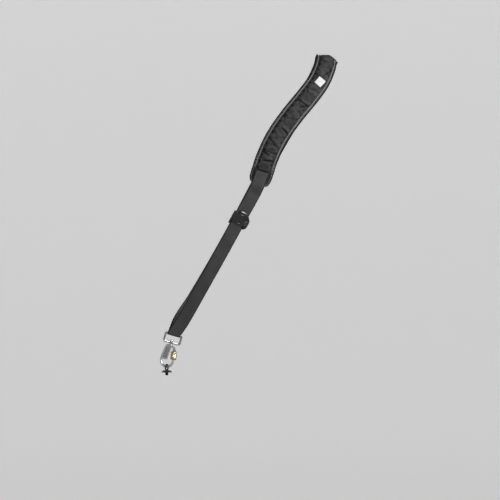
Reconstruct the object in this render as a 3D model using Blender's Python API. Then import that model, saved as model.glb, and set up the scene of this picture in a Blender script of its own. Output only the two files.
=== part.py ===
# Camera sling strap: a padded shoulder piece on one loop of webbing, with a slide lock,
# a wire ring, a swivel hook and a screw-in camera fastener. Metres, +Z up, the wearer faces -Y.
# The origin is the middle of the pad's underside at the top of the shoulder.
import math

import bmesh
import bpy
from mathutils import Matrix, Vector

MM = 0.001
GAP = 0.3 * MM

# Strap loop
LOOP_DROP = 593.2 * MM
CHEST_DEPTH = 120 * MM
BACK_DEPTH = 100 * MM
SWAY = 10 * MM
LOOP_LEAN = math.radians(29.2)
SHOULDER_SLOPE = math.radians(20)
SHOULDER_REACH = 45 * MM

# Webbing
WEB_WIDTH = 25.4 * MM
WEB_THICK = 1.7 * MM
TONGUE_LENGTH = 22 * MM
WEB_STEP = 12 * MM
FOLD_STEPS = 8
FOLD_REACH = 8 * MM

# Shoulder pad
PAD_WIDTH = 43 * MM
PAD_FRONT = 313 * MM
PAD_BACK = 112 * MM
PAD_THICK = 8 * MM
PAD_END_THICK = 4.6 * MM
PAD_CROWN = 1.0 * MM
PAD_END_ROUND = 16 * MM
PAD_END_FLAT = 26 * MM
PAD_TAPER = 60 * MM
PAD_STEP = 11 * MM
BINDING_THICK = 2.4 * MM
BINDING_OVER = 0.2 * MM

# Gathered panel and its trim
PANEL_WIDTH = 30 * MM
PANEL_THICK = 2.0 * MM
PANEL_CROWN = 1.2 * MM
PANEL_END_ROUND = 8 * MM
PANEL_STEP = 3.5 * MM
PANEL_TO_TONGUE = 3 * MM
GATHER_PITCH = 12 * MM
GATHER_DEPTH = 1.1 * MM
FOLD_DEPTH = 1.3 * MM
FOLD_WIDTH = 2.6 * MM
PIPING_THICK = 1.6 * MM
PIPING_STEP = 7 * MM
PATCH_SIDE = 15 * MM
PATCH_THICK = 0.9 * MM
PATCH_AT = 77 * MM
PATCH_ASIDE = PANEL_WIDTH * 0.117

# Slide lock
LOCK_AT = 393 * MM
LOCK_LEFT = 14.9 * MM
LOCK_RIGHT = 19.3 * MM
LOCK_LENGTH = 26 * MM
LOCK_CORNER = 9 * MM
LOCK_FLOOR = 2.4 * MM
LOCK_SLOT = 0.5 * MM
LOCK_SIDE_PLAY = 0.4 * MM
LID_RADIUS = 16 * MM
LID_CENTRE = 1.9 * MM
LID_UP = 3.8 * MM
LID_CUT = 9.1 * MM
LID_THICK = 2.9 * MM
LID_TAB = 6.5 * MM
BARREL_RADIUS = 1.8 * MM
BARREL_LENGTH = 15.2 * MM
LOCK_PIN_RADIUS = 0.7 * MM

# Ring
WIRE_RADIUS = 2.0 * MM
RING_INSIDE = 27 * MM
RING_BAR_SPACING = 16.8 * MM
RING_BEND = 3.2 * MM
RING_BOSS_RADIUS = 3.9 * MM
RING_BOSS_HALF = 2.4 * MM
BAR_LEAN = math.radians(16)

# Hook
HOOK_LEAN = math.radians(13)
HOOK_TURN = math.radians(-28)
BAR_RADIUS = 2.2 * MM
POST_RADIUS = 1.5 * MM
POST_PLAY = 0.4 * MM
POST_SEAT = 0.45 * MM
HEAD_RADIUS = 3.4 * MM
HEAD_HEIGHT = 2.9 * MM
NECK_RADIUS = 3.2 * MM
HOOK_TOP = 6.5 * MM
BASKET_RADIUS = 13.1 * MM
BASKET_DROP = 33.7 * MM
BASKET_SIDE = -1.1 * MM
NOSE_RISE = 1.1 * MM
SPINE_LEAN = math.radians(12.2)
SHOULDER_BEND = 4.7 * MM
GRIP_FOOT = 33.6 * MM
GRIP_WIDTH_TOP = 12.5 * MM
GRIP_WIDTH_FOOT = 13.6 * MM

# Gate and sleeve
GATE_HINGE_DROP = 11.8 * MM
GATE_LEAN = math.radians(7.5)
GATE_GAP = 0.5 * MM
EAR_RADIUS = 2.5 * MM
EAR_HALF = 1.2 * MM
CHEEK_THICK = 1.2 * MM
GATE_PIN_RADIUS = 0.7 * MM
SLEEVE_RADIUS = 5.9 * MM
SLEEVE_LENGTH = 15.4 * MM
SLEEVE_PLAY = 0.55 * MM
SLEEVE_CHAMFER = 0.9 * MM

# Camera fastener
EYE_WIRE = 1.5 * MM
EYE_INSIDE = 3.75 * MM
EYE_SINK = 1.0 * MM
FLANGE_RADIUS = 7.5 * MM
FLANGE_THICK = 1.6 * MM
STUD_RADIUS = 3.1 * MM
STUD_LENGTH = 5.5 * MM
WASHER_RADIUS = 10 * MM
WASHER_THICK = 2.4 * MM

SIDEWAYS = Vector((math.cos(LOOP_LEAN), 0, -math.sin(LOOP_LEAN)))
DOWNWARD = Vector((-math.sin(LOOP_LEAN), 0, -math.cos(LOOP_LEAN)))
BACKWARD = Vector((0, 1, 0))

# The loop's stations down the chest: drop / LOOP_DROP, depth / CHEST_DEPTH, sway / SWAY
CHEST_ROUTE = [
    # drop, depth, sway
    (0.005, 0.167, -0.09),
    (0.022, 0.308, 0.28),
    (0.065, 0.450, 0.57),
    (0.103, 0.533, 0.42),
    (0.140, 0.633, 0.10),
    (0.220, 0.808, -0.70),
    (0.297, 0.925, -1.10),
    (0.367, 0.983, -0.81),
    (0.416, 1.000, -0.24),
    (0.466, 0.983, 0.22),
    (0.574, 0.917, 0.27),
    (0.686, 0.783, 0.32),
    (0.832, 0.525, 0.30),
    (0.944, 0.325, 0.25),
]
# The same down the back: drop / LOOP_DROP, depth / BACK_DEPTH, sway / SWAY
BACK_ROUTE = [
    # drop, depth, sway
    (0.005, 0.200, 0.00),
    (0.022, 0.370, 0.25),
    (0.065, 0.540, 0.43),
    (0.110, 0.700, 0.29),
    (0.268, 0.970, -0.21),
    (0.420, 1.000, -0.17),
    (0.571, 0.880, 0.07),
    (0.723, 0.620, 0.12),
    (0.866, 0.190, -0.04),
    (0.951, -0.090, -0.37),
]
RING_DEPTH = -0.215 * CHEST_DEPTH

# Lasting creases across the panel: how far along it and across it they start and end, as shares
# of its length from the crest to its front end and of its half width
PANEL_FOLDS = [
    # start along, start across, end along, end across
    (0.33, -0.95, 0.43, -0.10),
    (0.46, 0.90, 0.52, 0.05),
    (0.60, -0.95, 0.66, -0.35),
    (0.80, -0.70, 0.83, 0.55),
    (0.88, -0.60, 0.87, 0.75),
    (0.17, 0.95, 0.23, 0.10),
    (0.09, -0.95, 0.13, -0.30),
]


def clear_scene():
    for thing in list(bpy.data.objects):
        bpy.data.objects.remove(thing)


def material(name, colour, roughness, metallic=0.0):
    made = bpy.data.materials.new(name)
    made.use_nodes = True
    shader = made.node_tree.nodes["Principled BSDF"]
    shader.inputs["Base Color"].default_value = (*colour, 1)
    shader.inputs["Roughness"].default_value = roughness
    shader.inputs["Metallic"].default_value = metallic
    return made


def smoothstep(value):
    value = min(max(value, 0.0), 1.0)
    return value * value * (3 - 2 * value)


def spaced(start, end, step):
    """Evenly spaced values from start to end, about step apart."""
    count = max(2, round(abs(end - start) / step))
    return [start + (end - start) * i / count for i in range(count + 1)]


# The route of the loop


def place(drop, depth, sway):
    return DOWNWARD * drop + BACKWARD * depth + SIDEWAYS * sway


def tangent_angle(drop, depth, side):
    """Where a straight leg from this station meets the ring's bar: 0 is behind, pi / 2 below."""
    across = depth - RING_DEPTH
    down = drop - LOOP_DROP
    touch = math.acos((WIRE_RADIUS + GAP) / math.hypot(across, down))
    return (math.atan2(down, across) + side * touch) % (2 * math.pi)


def ring_axis_point():
    return place(LOOP_DROP, RING_DEPTH, 0)


def fold_points():
    """The inner face of the webbing where it turns round the ring's bar, front to back."""
    bar_down = Vector((-math.sin(BAR_LEAN), 0, -math.cos(BAR_LEAN)))
    last = CHEST_ROUTE[-1]
    front = tangent_angle(last[0] * LOOP_DROP, -last[1] * CHEST_DEPTH, -1)
    last = BACK_ROUTE[-1]
    back = tangent_angle(last[0] * LOOP_DROP, last[1] * BACK_DEPTH, 1)
    points = []
    for i in range(FOLD_STEPS + 1):
        angle = front + (back - front) * i / FOLD_STEPS
        out = BACKWARD * math.cos(angle) + bar_down * math.sin(angle)
        points.append(ring_axis_point() + out * (WIRE_RADIUS + GAP))
    return points


class Route:
    """The loop's inner face, read by its length from the crest, positive down the chest."""

    def __init__(self):
        rows = [(Vector((0, 0, 0)), SHOULDER_SLOPE, 1.0)]
        for drop, depth, sway in CHEST_ROUTE:
            rows.append(self.row(drop, -depth * CHEST_DEPTH, sway))
        for point in fold_points():
            rows.append((point, BAR_LEAN, 0.0))
        for drop, depth, sway in reversed(BACK_ROUTE):
            rows.append(self.row(drop, depth * BACK_DEPTH, sway))
        self.samples = self.smooth(rows)
        self.lengths = [0.0]
        for first, second in zip(self.samples, self.samples[1:]):
            self.lengths.append(self.lengths[-1] + (second[0] - first[0]).length)
        self.total = self.lengths[-1]

    @staticmethod
    def row(drop, depth, sway):
        """A station with the slope of the band's width there, and how square the band is to it."""
        onto_back = smoothstep(drop * LOOP_DROP / SHOULDER_REACH)
        slope = SHOULDER_SLOPE + (LOOP_LEAN - SHOULDER_SLOPE) * onto_back
        near_ring = smoothstep((drop - 0.90) / 0.10)
        slope += (BAR_LEAN - slope) * near_ring * 0.5
        return place(drop * LOOP_DROP, depth, sway * SWAY), slope, 1.0 - near_ring

    @staticmethod
    def smooth(rows):
        """Hermite curve through the stations of the closed loop, with chord-length spacing."""
        count = len(rows)
        chords = [(rows[(i + 1) % count][0] - rows[i][0]).length for i in range(count)]
        samples = []
        for i in range(count):
            before = chords[i - 1]
            here = chords[i]
            after = chords[(i + 1) % count]
            point = [rows[(i + k) % count] for k in (-1, 0, 1, 2)]
            leave = (point[2][0] - point[0][0]) * (here / (before + here))
            arrive = (point[3][0] - point[1][0]) * (here / (here + after))
            steps = max(1, round(here / (2.5 * MM)))
            for k in range(steps):
                u = k / steps
                h00 = (1 + 2 * u) * (1 - u) ** 2
                h10 = u * (1 - u) ** 2
                h01 = u * u * (3 - 2 * u)
                h11 = u * u * (u - 1)
                place_ = point[1][0] * h00 + leave * h10 + point[2][0] * h01 + arrive * h11
                slope = point[1][1] + (point[2][1] - point[1][1]) * u
                square = point[1][2] + (point[2][2] - point[1][2]) * u
                samples.append((place_, slope, square))
        samples.append(samples[0])
        return samples

    def read(self, length):
        length %= self.total
        low, high = 0, len(self.lengths) - 1
        while high - low > 1:
            middle = (low + high) // 2
            if self.lengths[middle] <= length:
                low = middle
            else:
                high = middle
        span = self.lengths[high] - self.lengths[low]
        u = (length - self.lengths[low]) / span
        first, second = self.samples[low], self.samples[high]
        point = first[0].lerp(second[0], u)
        slope = first[1] + (second[1] - first[1]) * u
        square = first[2] + (second[2] - first[2]) * u
        return point, slope, square

    def frame(self, length):
        """Point, direction along, direction across and outward normal of the loop."""
        point, slope, square = self.read(length)
        reach = 1.0 * MM
        along = (self.read(length + reach)[0] - self.read(length - reach)[0]).normalized()
        level = Vector((math.cos(slope), 0, -math.sin(slope)))
        outward = along.cross(level).normalized()
        across = (level - along * level.dot(along) * square).normalized()
        return point, along, across, outward

    def at(self, length, across, outward):
        point, _, side, normal = self.frame(length)
        return point + side * across + normal * outward


# Mesh helpers


def finish(name, mesh_data, matter, smooth_angle=35):
    """Turns a bmesh into an object with its material, smooth but for its sharp edges."""
    bmesh.ops.recalc_face_normals(mesh_data, faces=mesh_data.faces)
    mesh = bpy.data.meshes.new(name)
    mesh_data.to_mesh(mesh)
    mesh_data.free()
    mesh.shade_smooth()
    mesh.set_sharp_from_angle(angle=math.radians(smooth_angle))
    thing = bpy.data.objects.new(name, mesh)
    bpy.context.scene.collection.objects.link(thing)
    if matter:
        mesh.materials.append(matter)
    return thing


def skin(rings, closed=False):
    """A bmesh skinned over rings of points, with flat ends, or joined round where closed."""
    made = bmesh.new()
    verts = [[made.verts.new(point) for point in ring] for ring in rings]
    sides = len(rings[0])
    pairs = list(zip(verts, verts[1:]))
    if closed:
        pairs.append((verts[-1], verts[0]))
    for first, second in pairs:
        for k in range(sides):
            after = (k + 1) % sides
            made.faces.new((first[k], first[after], second[after], second[k]))
    if not closed:
        made.faces.new(verts[0][::-1])
        made.faces.new(verts[-1])
    return made


def circle(radius, sides, turn=0.0):
    return [
        (
            radius * math.cos(2 * math.pi * k / sides + turn),
            radius * math.sin(2 * math.pi * k / sides + turn),
        )
        for k in range(sides)
    ]


def arc(centre, radius, start, end, steps):
    """Points of an arc in a plane, from one angle to another in degrees."""
    points = []
    for i in range(steps + 1):
        angle = math.radians(start + (end - start) * i / steps)
        points.append(
            (centre[0] + radius * math.cos(angle), centre[1] + radius * math.sin(angle))
        )
    return points


def tube(path, radius, sides, closed=False):
    """A round bar along points (x, z) of the plane y = 0."""
    rings = []
    count = len(path)
    for i, point in enumerate(path):
        before = path[i - 1] if closed or i else point
        after = path[(i + 1) % count] if closed or i < count - 1 else point
        along = Vector((after[0] - before[0], 0, after[1] - before[1])).normalized()
        side = Vector((along.z, 0, -along.x))
        centre = Vector((point[0], 0, point[1]))
        rings.append(
            [centre + side * a + Vector((0, b, 0)) for a, b in circle(radius, sides)]
        )
    return skin(rings, closed)


def prism(outline, low, high, axes="xz"):
    """An outline in one plane, extruded from low to high along the third axis."""
    third = {"xz": 1, "xy": 2, "yz": 0}[axes]
    rings = []
    for level in (low, high):
        ring = []
        for first, second in outline:
            values = [first, second]
            values.insert(third, level)
            ring.append(Vector(values))
        rings.append(ring)
    return skin(rings)


def turned(profile, sides, centre=(0.0, 0.0)):
    """A solid turned round an upright axis: profile holds (radius, z), bottom to top."""
    rings = []
    for radius, level in profile:
        rings.append(
            [
                Vector((centre[0] + x, centre[1] + y, level))
                for x, y in circle(radius, sides)
            ]
        )
    return skin(rings)


def combine(target, mesh_data, operation):
    """Adds a solid to another, or cuts it away, for good."""
    helper = finish(target.name + "_helper", mesh_data, None)
    helper.matrix_world = target.matrix_world
    helper.hide_render = True
    helper.display_type = "WIRE"
    modifier = target.modifiers.new(operation.title(), "BOOLEAN")
    modifier.operation = operation
    modifier.object = helper
    modifier.solver = "EXACT"
    return helper


# Soft pieces


def pad_thickness(length):
    """The pad is full in the middle and pressed thin at its two sewn ends."""
    to_end = min(PAD_FRONT - length, length + PAD_BACK)
    return PAD_END_THICK + (PAD_THICK - PAD_END_THICK) * smoothstep(to_end / PAD_TAPER)


def pad_half_width(length):
    """Half width of the pad inside its binding: straight sides and rounded ends."""
    full = PAD_WIDTH / 2 - BINDING_THICK - GAP
    end = PAD_END_FLAT / 2
    to_end = max(min(PAD_FRONT - length, length + PAD_BACK), 0.0)
    if to_end >= PAD_END_ROUND:
        return full
    round_off = math.sqrt(1 - (1 - to_end / PAD_END_ROUND) ** 2)
    return end + (full - end) * round_off


def pad_top(length, across):
    """Height of the pad's outer face over its underside."""
    share = min(abs(across) / pad_half_width(length), 1.0)
    thick = pad_thickness(length)
    crown = PAD_CROWN * (1 - share**2)
    return thick / 2 * (1 + math.sqrt(max(1 - share**5, 0.0))) + crown


def pad_lengths():
    ends = [0.0, 0.08, 0.3, 0.62]
    first = [-PAD_BACK + share * PAD_END_ROUND for share in ends]
    last = [PAD_FRONT - share * PAD_END_ROUND for share in reversed(ends)]
    middle = spaced(-PAD_BACK + PAD_END_ROUND, PAD_FRONT - PAD_END_ROUND, PAD_STEP)
    return first + middle + last


def make_shoulder_pad(route, matter):
    shares = [-1.0, -0.96, -0.85, -0.55, 0.0, 0.55, 0.85, 0.96, 1.0]
    rings = []
    for length in pad_lengths():
        half = pad_half_width(length)
        thick = pad_thickness(length)
        ring = [route.at(length, share * half, pad_top(length, share * half)) for share in shares]
        for share in reversed(shares[1:-1]):
            low = thick / 2 * (1 - math.sqrt(1 - abs(share) ** 7))
            ring.append(route.at(length, share * half, low))
        rings.append(ring)
    return finish("shoulder_pad", skin(rings), matter, 60)


def pad_outline():
    """The pad's rim as (length, across), once round, with an extra row across each end."""
    lengths = pad_lengths()
    right = [(length, pad_half_width(length)) for length in lengths]
    left = [(length, -across) for length, across in reversed(right)]
    front = [(PAD_FRONT, PAD_END_FLAT / 2 * share) for share in (0.5, 0.0, -0.5)]
    back = [(-PAD_BACK, PAD_END_FLAT / 2 * share) for share in (-0.5, 0.0, 0.5)]
    return right + front + left + back


def make_binding(route, matter):
    outline = pad_outline()
    count = len(outline)
    rings = []
    for i, (length, across) in enumerate(outline):
        before, after = outline[i - 1], outline[(i + 1) % count]
        along = Vector((after[0] - before[0], after[1] - before[1])).normalized()
        out = Vector((-along.y, along.x))
        thick = pad_thickness(length)
        centre = Vector((length, across)) + out * (GAP + BINDING_THICK / 2)
        ring = []
        for a, b in circle(1.0, 6):
            spot = centre + out * a * BINDING_THICK / 2
            height = thick / 2 + b * (thick / 2 + BINDING_OVER) / math.sin(math.pi / 3)
            ring.append(route.at(spot.x, spot.y, height))
        rings.append(ring)
    return finish("edge_binding", skin(rings, closed=True), matter, 60)


def panel_front():
    return PAD_FRONT - TONGUE_LENGTH - PANEL_TO_TONGUE


def panel_back():
    return PAD_BACK - TONGUE_LENGTH - PANEL_TO_TONGUE


def panel_half_width(length):
    to_end = max(min(panel_front() - length, length + panel_back()), 0.0)
    share = min(to_end / PANEL_END_ROUND, 1.0)
    return PANEL_WIDTH / 2 * (0.78 + 0.22 * math.sqrt(1 - (1 - share) ** 2))


def gathers(length, share):
    """Puckers that run in from both seams, each of its own reach."""
    side = -1 if share < 0 else 1
    shift = 0.35 * GATHER_PITCH * side
    wander = 0.22 * GATHER_PITCH * math.sin(length / (3.1 * GATHER_PITCH) + side)
    turn = 2 * math.pi * (length + shift + wander) / GATHER_PITCH
    reach = 1.6 + 0.8 * math.sin(length / (1.9 * GATHER_PITCH) + 2 * side)
    return GATHER_DEPTH * (math.cos(turn) - 1) / 2 * abs(share) ** reach


def creases(length, share):
    """Depth of the lasting cross folds at a spot of the panel."""
    spot = Vector((length, share * PANEL_WIDTH / 2))
    depth = 0.0
    for start_along, start_across, end_along, end_across in PANEL_FOLDS:
        first = Vector((start_along * panel_front(), start_across * PANEL_WIDTH / 2))
        second = Vector((end_along * panel_front(), end_across * PANEL_WIDTH / 2))
        line = second - first
        u = min(max((spot - first).dot(line) / line.length_squared, 0.0), 1.0)
        away = (spot - first - line * u).length / FOLD_WIDTH
        depth -= FOLD_DEPTH * math.exp(-away * away) * (1 - 0.6 * u)
    return depth


def panel_height(length, share):
    """Height of the panel's outer face over the pad's underside."""
    half = panel_half_width(length)
    base = pad_top(length, share * half) + GAP + PANEL_THICK
    to_end = min(panel_front() - length, length + panel_back())
    ends = smoothstep(to_end / PANEL_END_ROUND)
    crown = PANEL_CROWN * (1 - share**4) * ends
    relief = (gathers(length, share) + creases(length, share)) * ends
    return base + crown + max(relief, -0.75 * PANEL_THICK - crown * 0.5)


def make_panel(route, matter):
    shares = [-1.0, -0.82, -0.55, -0.25, 0.0, 0.25, 0.55, 0.82, 1.0]
    under = [0.96, 0.78, 0.5, 0.0, -0.5, -0.78, -0.96]
    rings = []
    for length in spaced(-panel_back(), panel_front(), PANEL_STEP):
        half = panel_half_width(length)
        ring = [route.at(length, share * half, panel_height(length, share)) for share in shares]
        for share in under:
            low = pad_top(length, share * half) + GAP
            ring.append(route.at(length, share * half, low))
        rings.append(ring)
    return finish("gathered_panel", skin(rings), matter, 60)


def make_piping(name, route, side, matter):
    """A cord beside the panel's seam, its height taken from the pad under it."""
    radius = PIPING_THICK / 2
    rings = []
    for length in spaced(-panel_back(), panel_front(), PIPING_STEP):
        across = side * (PANEL_WIDTH / 2 + GAP + radius)
        height = max(
            pad_top(length, across + radius * turn) for turn in (-1.0, 0.0, 1.0)
        )
        centre = height + GAP + radius
        rings.append(
            [
                route.at(length, across + a, centre + b)
                for a, b in circle(radius, 6, math.pi / 6)
            ]
        )
    return finish(name, skin(rings), matter, 70)


def make_patch(route, matter):
    """A square patch that lies on the panel, level with the highest spot under it."""
    steps = [-PATCH_SIDE / 2 + PATCH_SIDE * i / 4 for i in range(5)]
    level = max(
        panel_height(PATCH_AT + a, (PATCH_ASIDE + b) / panel_half_width(PATCH_AT))
        for a in spaced(steps[0], steps[-1], MM)
        for b in steps
    )
    rings = []
    for a in steps:
        ring = [
            route.at(PATCH_AT + a, PATCH_ASIDE + b, level + GAP + PATCH_THICK) for b in steps
        ]
        ring += [route.at(PATCH_AT + a, PATCH_ASIDE + b, level + GAP) for b in reversed(steps)]
        rings.append(ring)
    return finish("label_patch", skin(rings), matter, 40)


def webbing_lift(length, total):
    """Height of the webbing's inner face: on the pad at its two ends, on the body elsewhere."""
    past_front = length - PAD_FRONT
    past_back = total - PAD_BACK - length
    seat = PAD_END_THICK + PAD_CROWN + BINDING_OVER + GAP
    if past_front < BINDING_THICK:
        return seat + pad_thickness(length) - PAD_END_THICK
    if past_back < BINDING_THICK:
        return seat + pad_thickness(length - total) - PAD_END_THICK
    nearest = min(past_front, past_back) - BINDING_THICK
    return seat * (1 - smoothstep((nearest - GAP) / TONGUE_LENGTH))


def make_webbing(route, matter):
    start = PAD_FRONT - TONGUE_LENGTH
    end = route.total - PAD_BACK + TONGUE_LENGTH
    fold = max(range(len(route.samples)), key=lambda i: -route.samples[i][0].z)
    fold_at = route.lengths[fold]
    lengths = spaced(start, fold_at - FOLD_REACH, WEB_STEP)[:-1]
    lengths += spaced(fold_at - FOLD_REACH, fold_at + FOLD_REACH, 1.0 * MM)[:-1]
    lengths += spaced(fold_at + FOLD_REACH, end, WEB_STEP)
    half = WEB_WIDTH / 2
    rings = []
    for length in lengths:
        low = webbing_lift(length, route.total)
        high = low + WEB_THICK
        rings.append(
            [
                route.at(length, a, n)
                for a, n in ((-half, low), (half, low), (half, high), (-half, high))
            ]
        )
    return finish("webbing", skin(rings), matter, 40)


# Slide lock: x runs across the strap, y up it, z outward


def lock_frame(route):
    point, along, across, outward = route.frame(LOCK_AT)
    turn = Matrix((across, -along, outward)).transposed().to_4x4()
    return Matrix.Translation(point) @ turn


def barrel_axis():
    side = -(WEB_WIDTH / 2 + BARREL_RADIUS)
    level = lid_under() + LID_THICK - BARREL_RADIUS
    return side, level


def lid_under():
    return WEB_THICK + LOCK_SLOT


def barrel_end():
    """The lower end of the lid's hinge barrel, above the base's knuckle."""
    return LOCK_LENGTH / 2 + 1.0 * MM - BARREL_LENGTH


def make_lock_base(frame, matter):
    wall = WEB_WIDTH / 2 + LOCK_SIDE_PLAY
    floor = -LOCK_SLOT
    under = floor - LOCK_FLOOR
    side, level = barrel_axis()
    left_top = level - BARREL_RADIUS - GAP
    right_top = lid_under() - GAP
    profile = [
        (-LOCK_LEFT, under),
        (LOCK_RIGHT, under),
        (LOCK_RIGHT, right_top),
        (wall, right_top),
        (wall, floor),
        (-wall, floor),
        (-wall, left_top),
        (-LOCK_LEFT, left_top),
    ]
    half = LOCK_LENGTH / 2
    base = finish("lock_base", prism(profile, -half, half, "xz"), matter)
    base.matrix_world = frame
    corner = LOCK_CORNER
    right = LOCK_RIGHT
    outline = [(-LOCK_LEFT - corner, -half - corner)]
    outline += [(right - corner, -half - corner)]
    outline += arc((right - corner, -half + corner), corner, -90, 0, 5)
    outline += arc((right - corner, half - corner), corner, 0, 90, 5)
    outline += [(right - corner, half + corner), (-LOCK_LEFT - corner, half + corner)]
    combine(base, prism(outline, under - corner, level + corner, "xy"), "INTERSECT")
    knuckle_top = barrel_end() - GAP
    block = [
        (side - BARREL_RADIUS, under + 0.6 * MM),
        (-wall - 0.2 * MM, under + 0.6 * MM),
        (-wall - 0.2 * MM, level),
    ]
    block += arc((side, level), BARREL_RADIUS, 20, 180, 8)
    combine(base, prism(block, -half + 0.5 * MM, knuckle_top, "xz"), "UNION")
    bore = [(side + x, level + z) for x, z in circle(LOCK_PIN_RADIUS + GAP, 12)]
    combine(base, prism(bore, -half - MM, knuckle_top + MM, "xz"), "DIFFERENCE")
    return base


def make_lock_lid(frame, matter):
    """The lid has its origin on the axis of its barrel."""
    side, level = barrel_axis()
    centre = (LID_CENTRE - side, LID_UP)
    under = lid_under() - level
    top = under + LID_THICK
    cut_angle = math.degrees(math.asin(LID_CUT / LID_RADIUS))
    disc = arc(centre, LID_RADIUS, -cut_angle, 180 + cut_angle, 26)
    lid = finish("lock_lid", prism(disc, under, top, "xy"), matter)
    lid.matrix_world = frame @ Matrix.Translation((side, 0, level))
    low = barrel_end()
    high = LOCK_LENGTH / 2 + 1.0 * MM
    clear = BARREL_RADIUS + GAP
    reach = LID_RADIUS
    away = [(-reach, -reach), (clear, -reach), (clear, low), (-reach, low)]
    combine(lid, prism(away, under - MM, top + MM, "xy"), "DIFFERENCE")
    beyond = [(-reach, low - MM), (0.2 * MM, low - MM), (0.2 * MM, reach * 2), (-reach, reach * 2)]
    combine(lid, prism(beyond, under - MM, top + MM, "xy"), "DIFFERENCE")
    tab = [(0.4 * MM, low), (LID_TAB, low), (LID_TAB, high - MM), (0.4 * MM, high - MM)]
    combine(lid, prism(tab, under, top - 0.3 * MM, "xy"), "UNION")
    combine(lid, prism(circle(BARREL_RADIUS, 14), low, high, "xz"), "UNION")
    bore = circle(LOCK_PIN_RADIUS + GAP, 12)
    combine(lid, prism(bore, low - MM, high + MM, "xz"), "DIFFERENCE")
    return lid


def make_lock_pin(frame, matter):
    side, level = barrel_axis()
    half = LOCK_LENGTH / 2
    pin = finish(
        "lock_pin", prism(circle(LOCK_PIN_RADIUS, 10), -half + MM, half + MM, "xz"), matter
    )
    pin.matrix_world = frame @ Matrix.Translation((side, 0, level))
    return pin


# Ring, with its origin on the axis of its top bar


def ring_frame():
    return Matrix.Translation(ring_axis_point()) @ Matrix.Rotation(BAR_LEAN, 4, "Y")


def make_ring(matter):
    half = RING_INSIDE / 2 + WIRE_RADIUS
    bend = RING_BEND
    low = -RING_BAR_SPACING
    path = arc((half - bend, -bend), bend, 90, 0, 4)
    path += arc((half - bend, low + bend), bend, 0, -90, 4)
    path += arc((-half + bend, low + bend), bend, -90, -180, 4)
    path += arc((-half + bend, -bend), bend, 180, 90, 4)
    ring = finish("strap_ring", tube(path, WIRE_RADIUS, 10, closed=True), matter)
    ring.matrix_world = ring_frame()
    boss = [
        (RING_BOSS_RADIUS - 0.4 * MM, low - RING_BOSS_HALF),
        (RING_BOSS_RADIUS, low - RING_BOSS_HALF + 0.4 * MM),
        (RING_BOSS_RADIUS, low + RING_BOSS_HALF - 0.4 * MM),
        (RING_BOSS_RADIUS - 0.4 * MM, low + RING_BOSS_HALF),
    ]
    combine(ring, turned(boss, 16), "UNION")
    bore = [(POST_RADIUS + POST_PLAY, low - WIRE_RADIUS * 2)]
    bore += [(POST_RADIUS + POST_PLAY, low + WIRE_RADIUS * 2)]
    combine(ring, turned(bore, 12), "DIFFERENCE")
    return ring


# Hook: x across, y through it, z up, with its origin in the middle of the ring's lower bar


def hook_frame():
    centre = ring_frame() @ Vector((0, 0, -RING_BAR_SPACING))
    turn = Matrix.Rotation(HOOK_LEAN, 4, "Y") @ Matrix.Rotation(HOOK_TURN, 4, "Z")
    return Matrix.Translation(centre) @ turn


def gate_hinge():
    """The hinge pin's place (x, z): the line of the gate runs straight into the basket's bar."""
    side = BASKET_SIDE + BASKET_RADIUS * math.cos(GATE_LEAN)
    drop = BASKET_DROP - BASKET_RADIUS * math.sin(GATE_LEAN)
    return side - (drop - GATE_HINGE_DROP) * math.tan(GATE_LEAN), -GATE_HINGE_DROP


def nose_reach():
    """Distance from the hinge pin to the tip of the hook's nose."""
    return (BASKET_DROP - NOSE_RISE - GATE_HINGE_DROP) / math.cos(GATE_LEAN)


def gate_frame():
    """The gate's own frame: origin on its hinge pin, -z down the gate."""
    side, up = gate_hinge()
    hinge = Matrix.Translation((side, 0, up))
    return hook_frame() @ hinge @ Matrix.Rotation(-GATE_LEAN, 4, "Y")


def spine_foot():
    """Where the basket's arc runs into the straight spine."""
    return (
        BASKET_SIDE - BASKET_RADIUS * math.cos(SPINE_LEAN),
        -BASKET_DROP + BASKET_RADIUS * math.sin(SPINE_LEAN),
    )


def hook_path():
    """Centre line of the hook's bar: nose, basket, spine, shoulder and top."""
    basket = (BASKET_SIDE, -BASKET_DROP)
    hinge_x, hinge_z = gate_hinge()
    nose_x = hinge_x + nose_reach() * math.sin(GATE_LEAN)
    nose_z = hinge_z - nose_reach() * math.cos(GATE_LEAN)
    path = [(nose_x, nose_z)]
    path += arc(basket, BASKET_RADIUS, 0, -(180 + math.degrees(SPINE_LEAN)), 15)
    foot_x, foot_z = spine_foot()
    bend_z = -HOOK_TOP - SHOULDER_BEND
    top_angle = 180 - math.degrees(SPINE_LEAN)
    rise = bend_z + SHOULDER_BEND * math.sin(SPINE_LEAN) - foot_z
    bend_x = foot_x + rise * math.tan(SPINE_LEAN) + SHOULDER_BEND * math.cos(SPINE_LEAN)
    path += arc((bend_x, bend_z), SHOULDER_BEND, top_angle, 92, 4)
    path += arc((3.4 * MM, bend_z - 0.5 * MM), SHOULDER_BEND + 0.5 * MM, 88, 52, 2)
    return path


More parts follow.
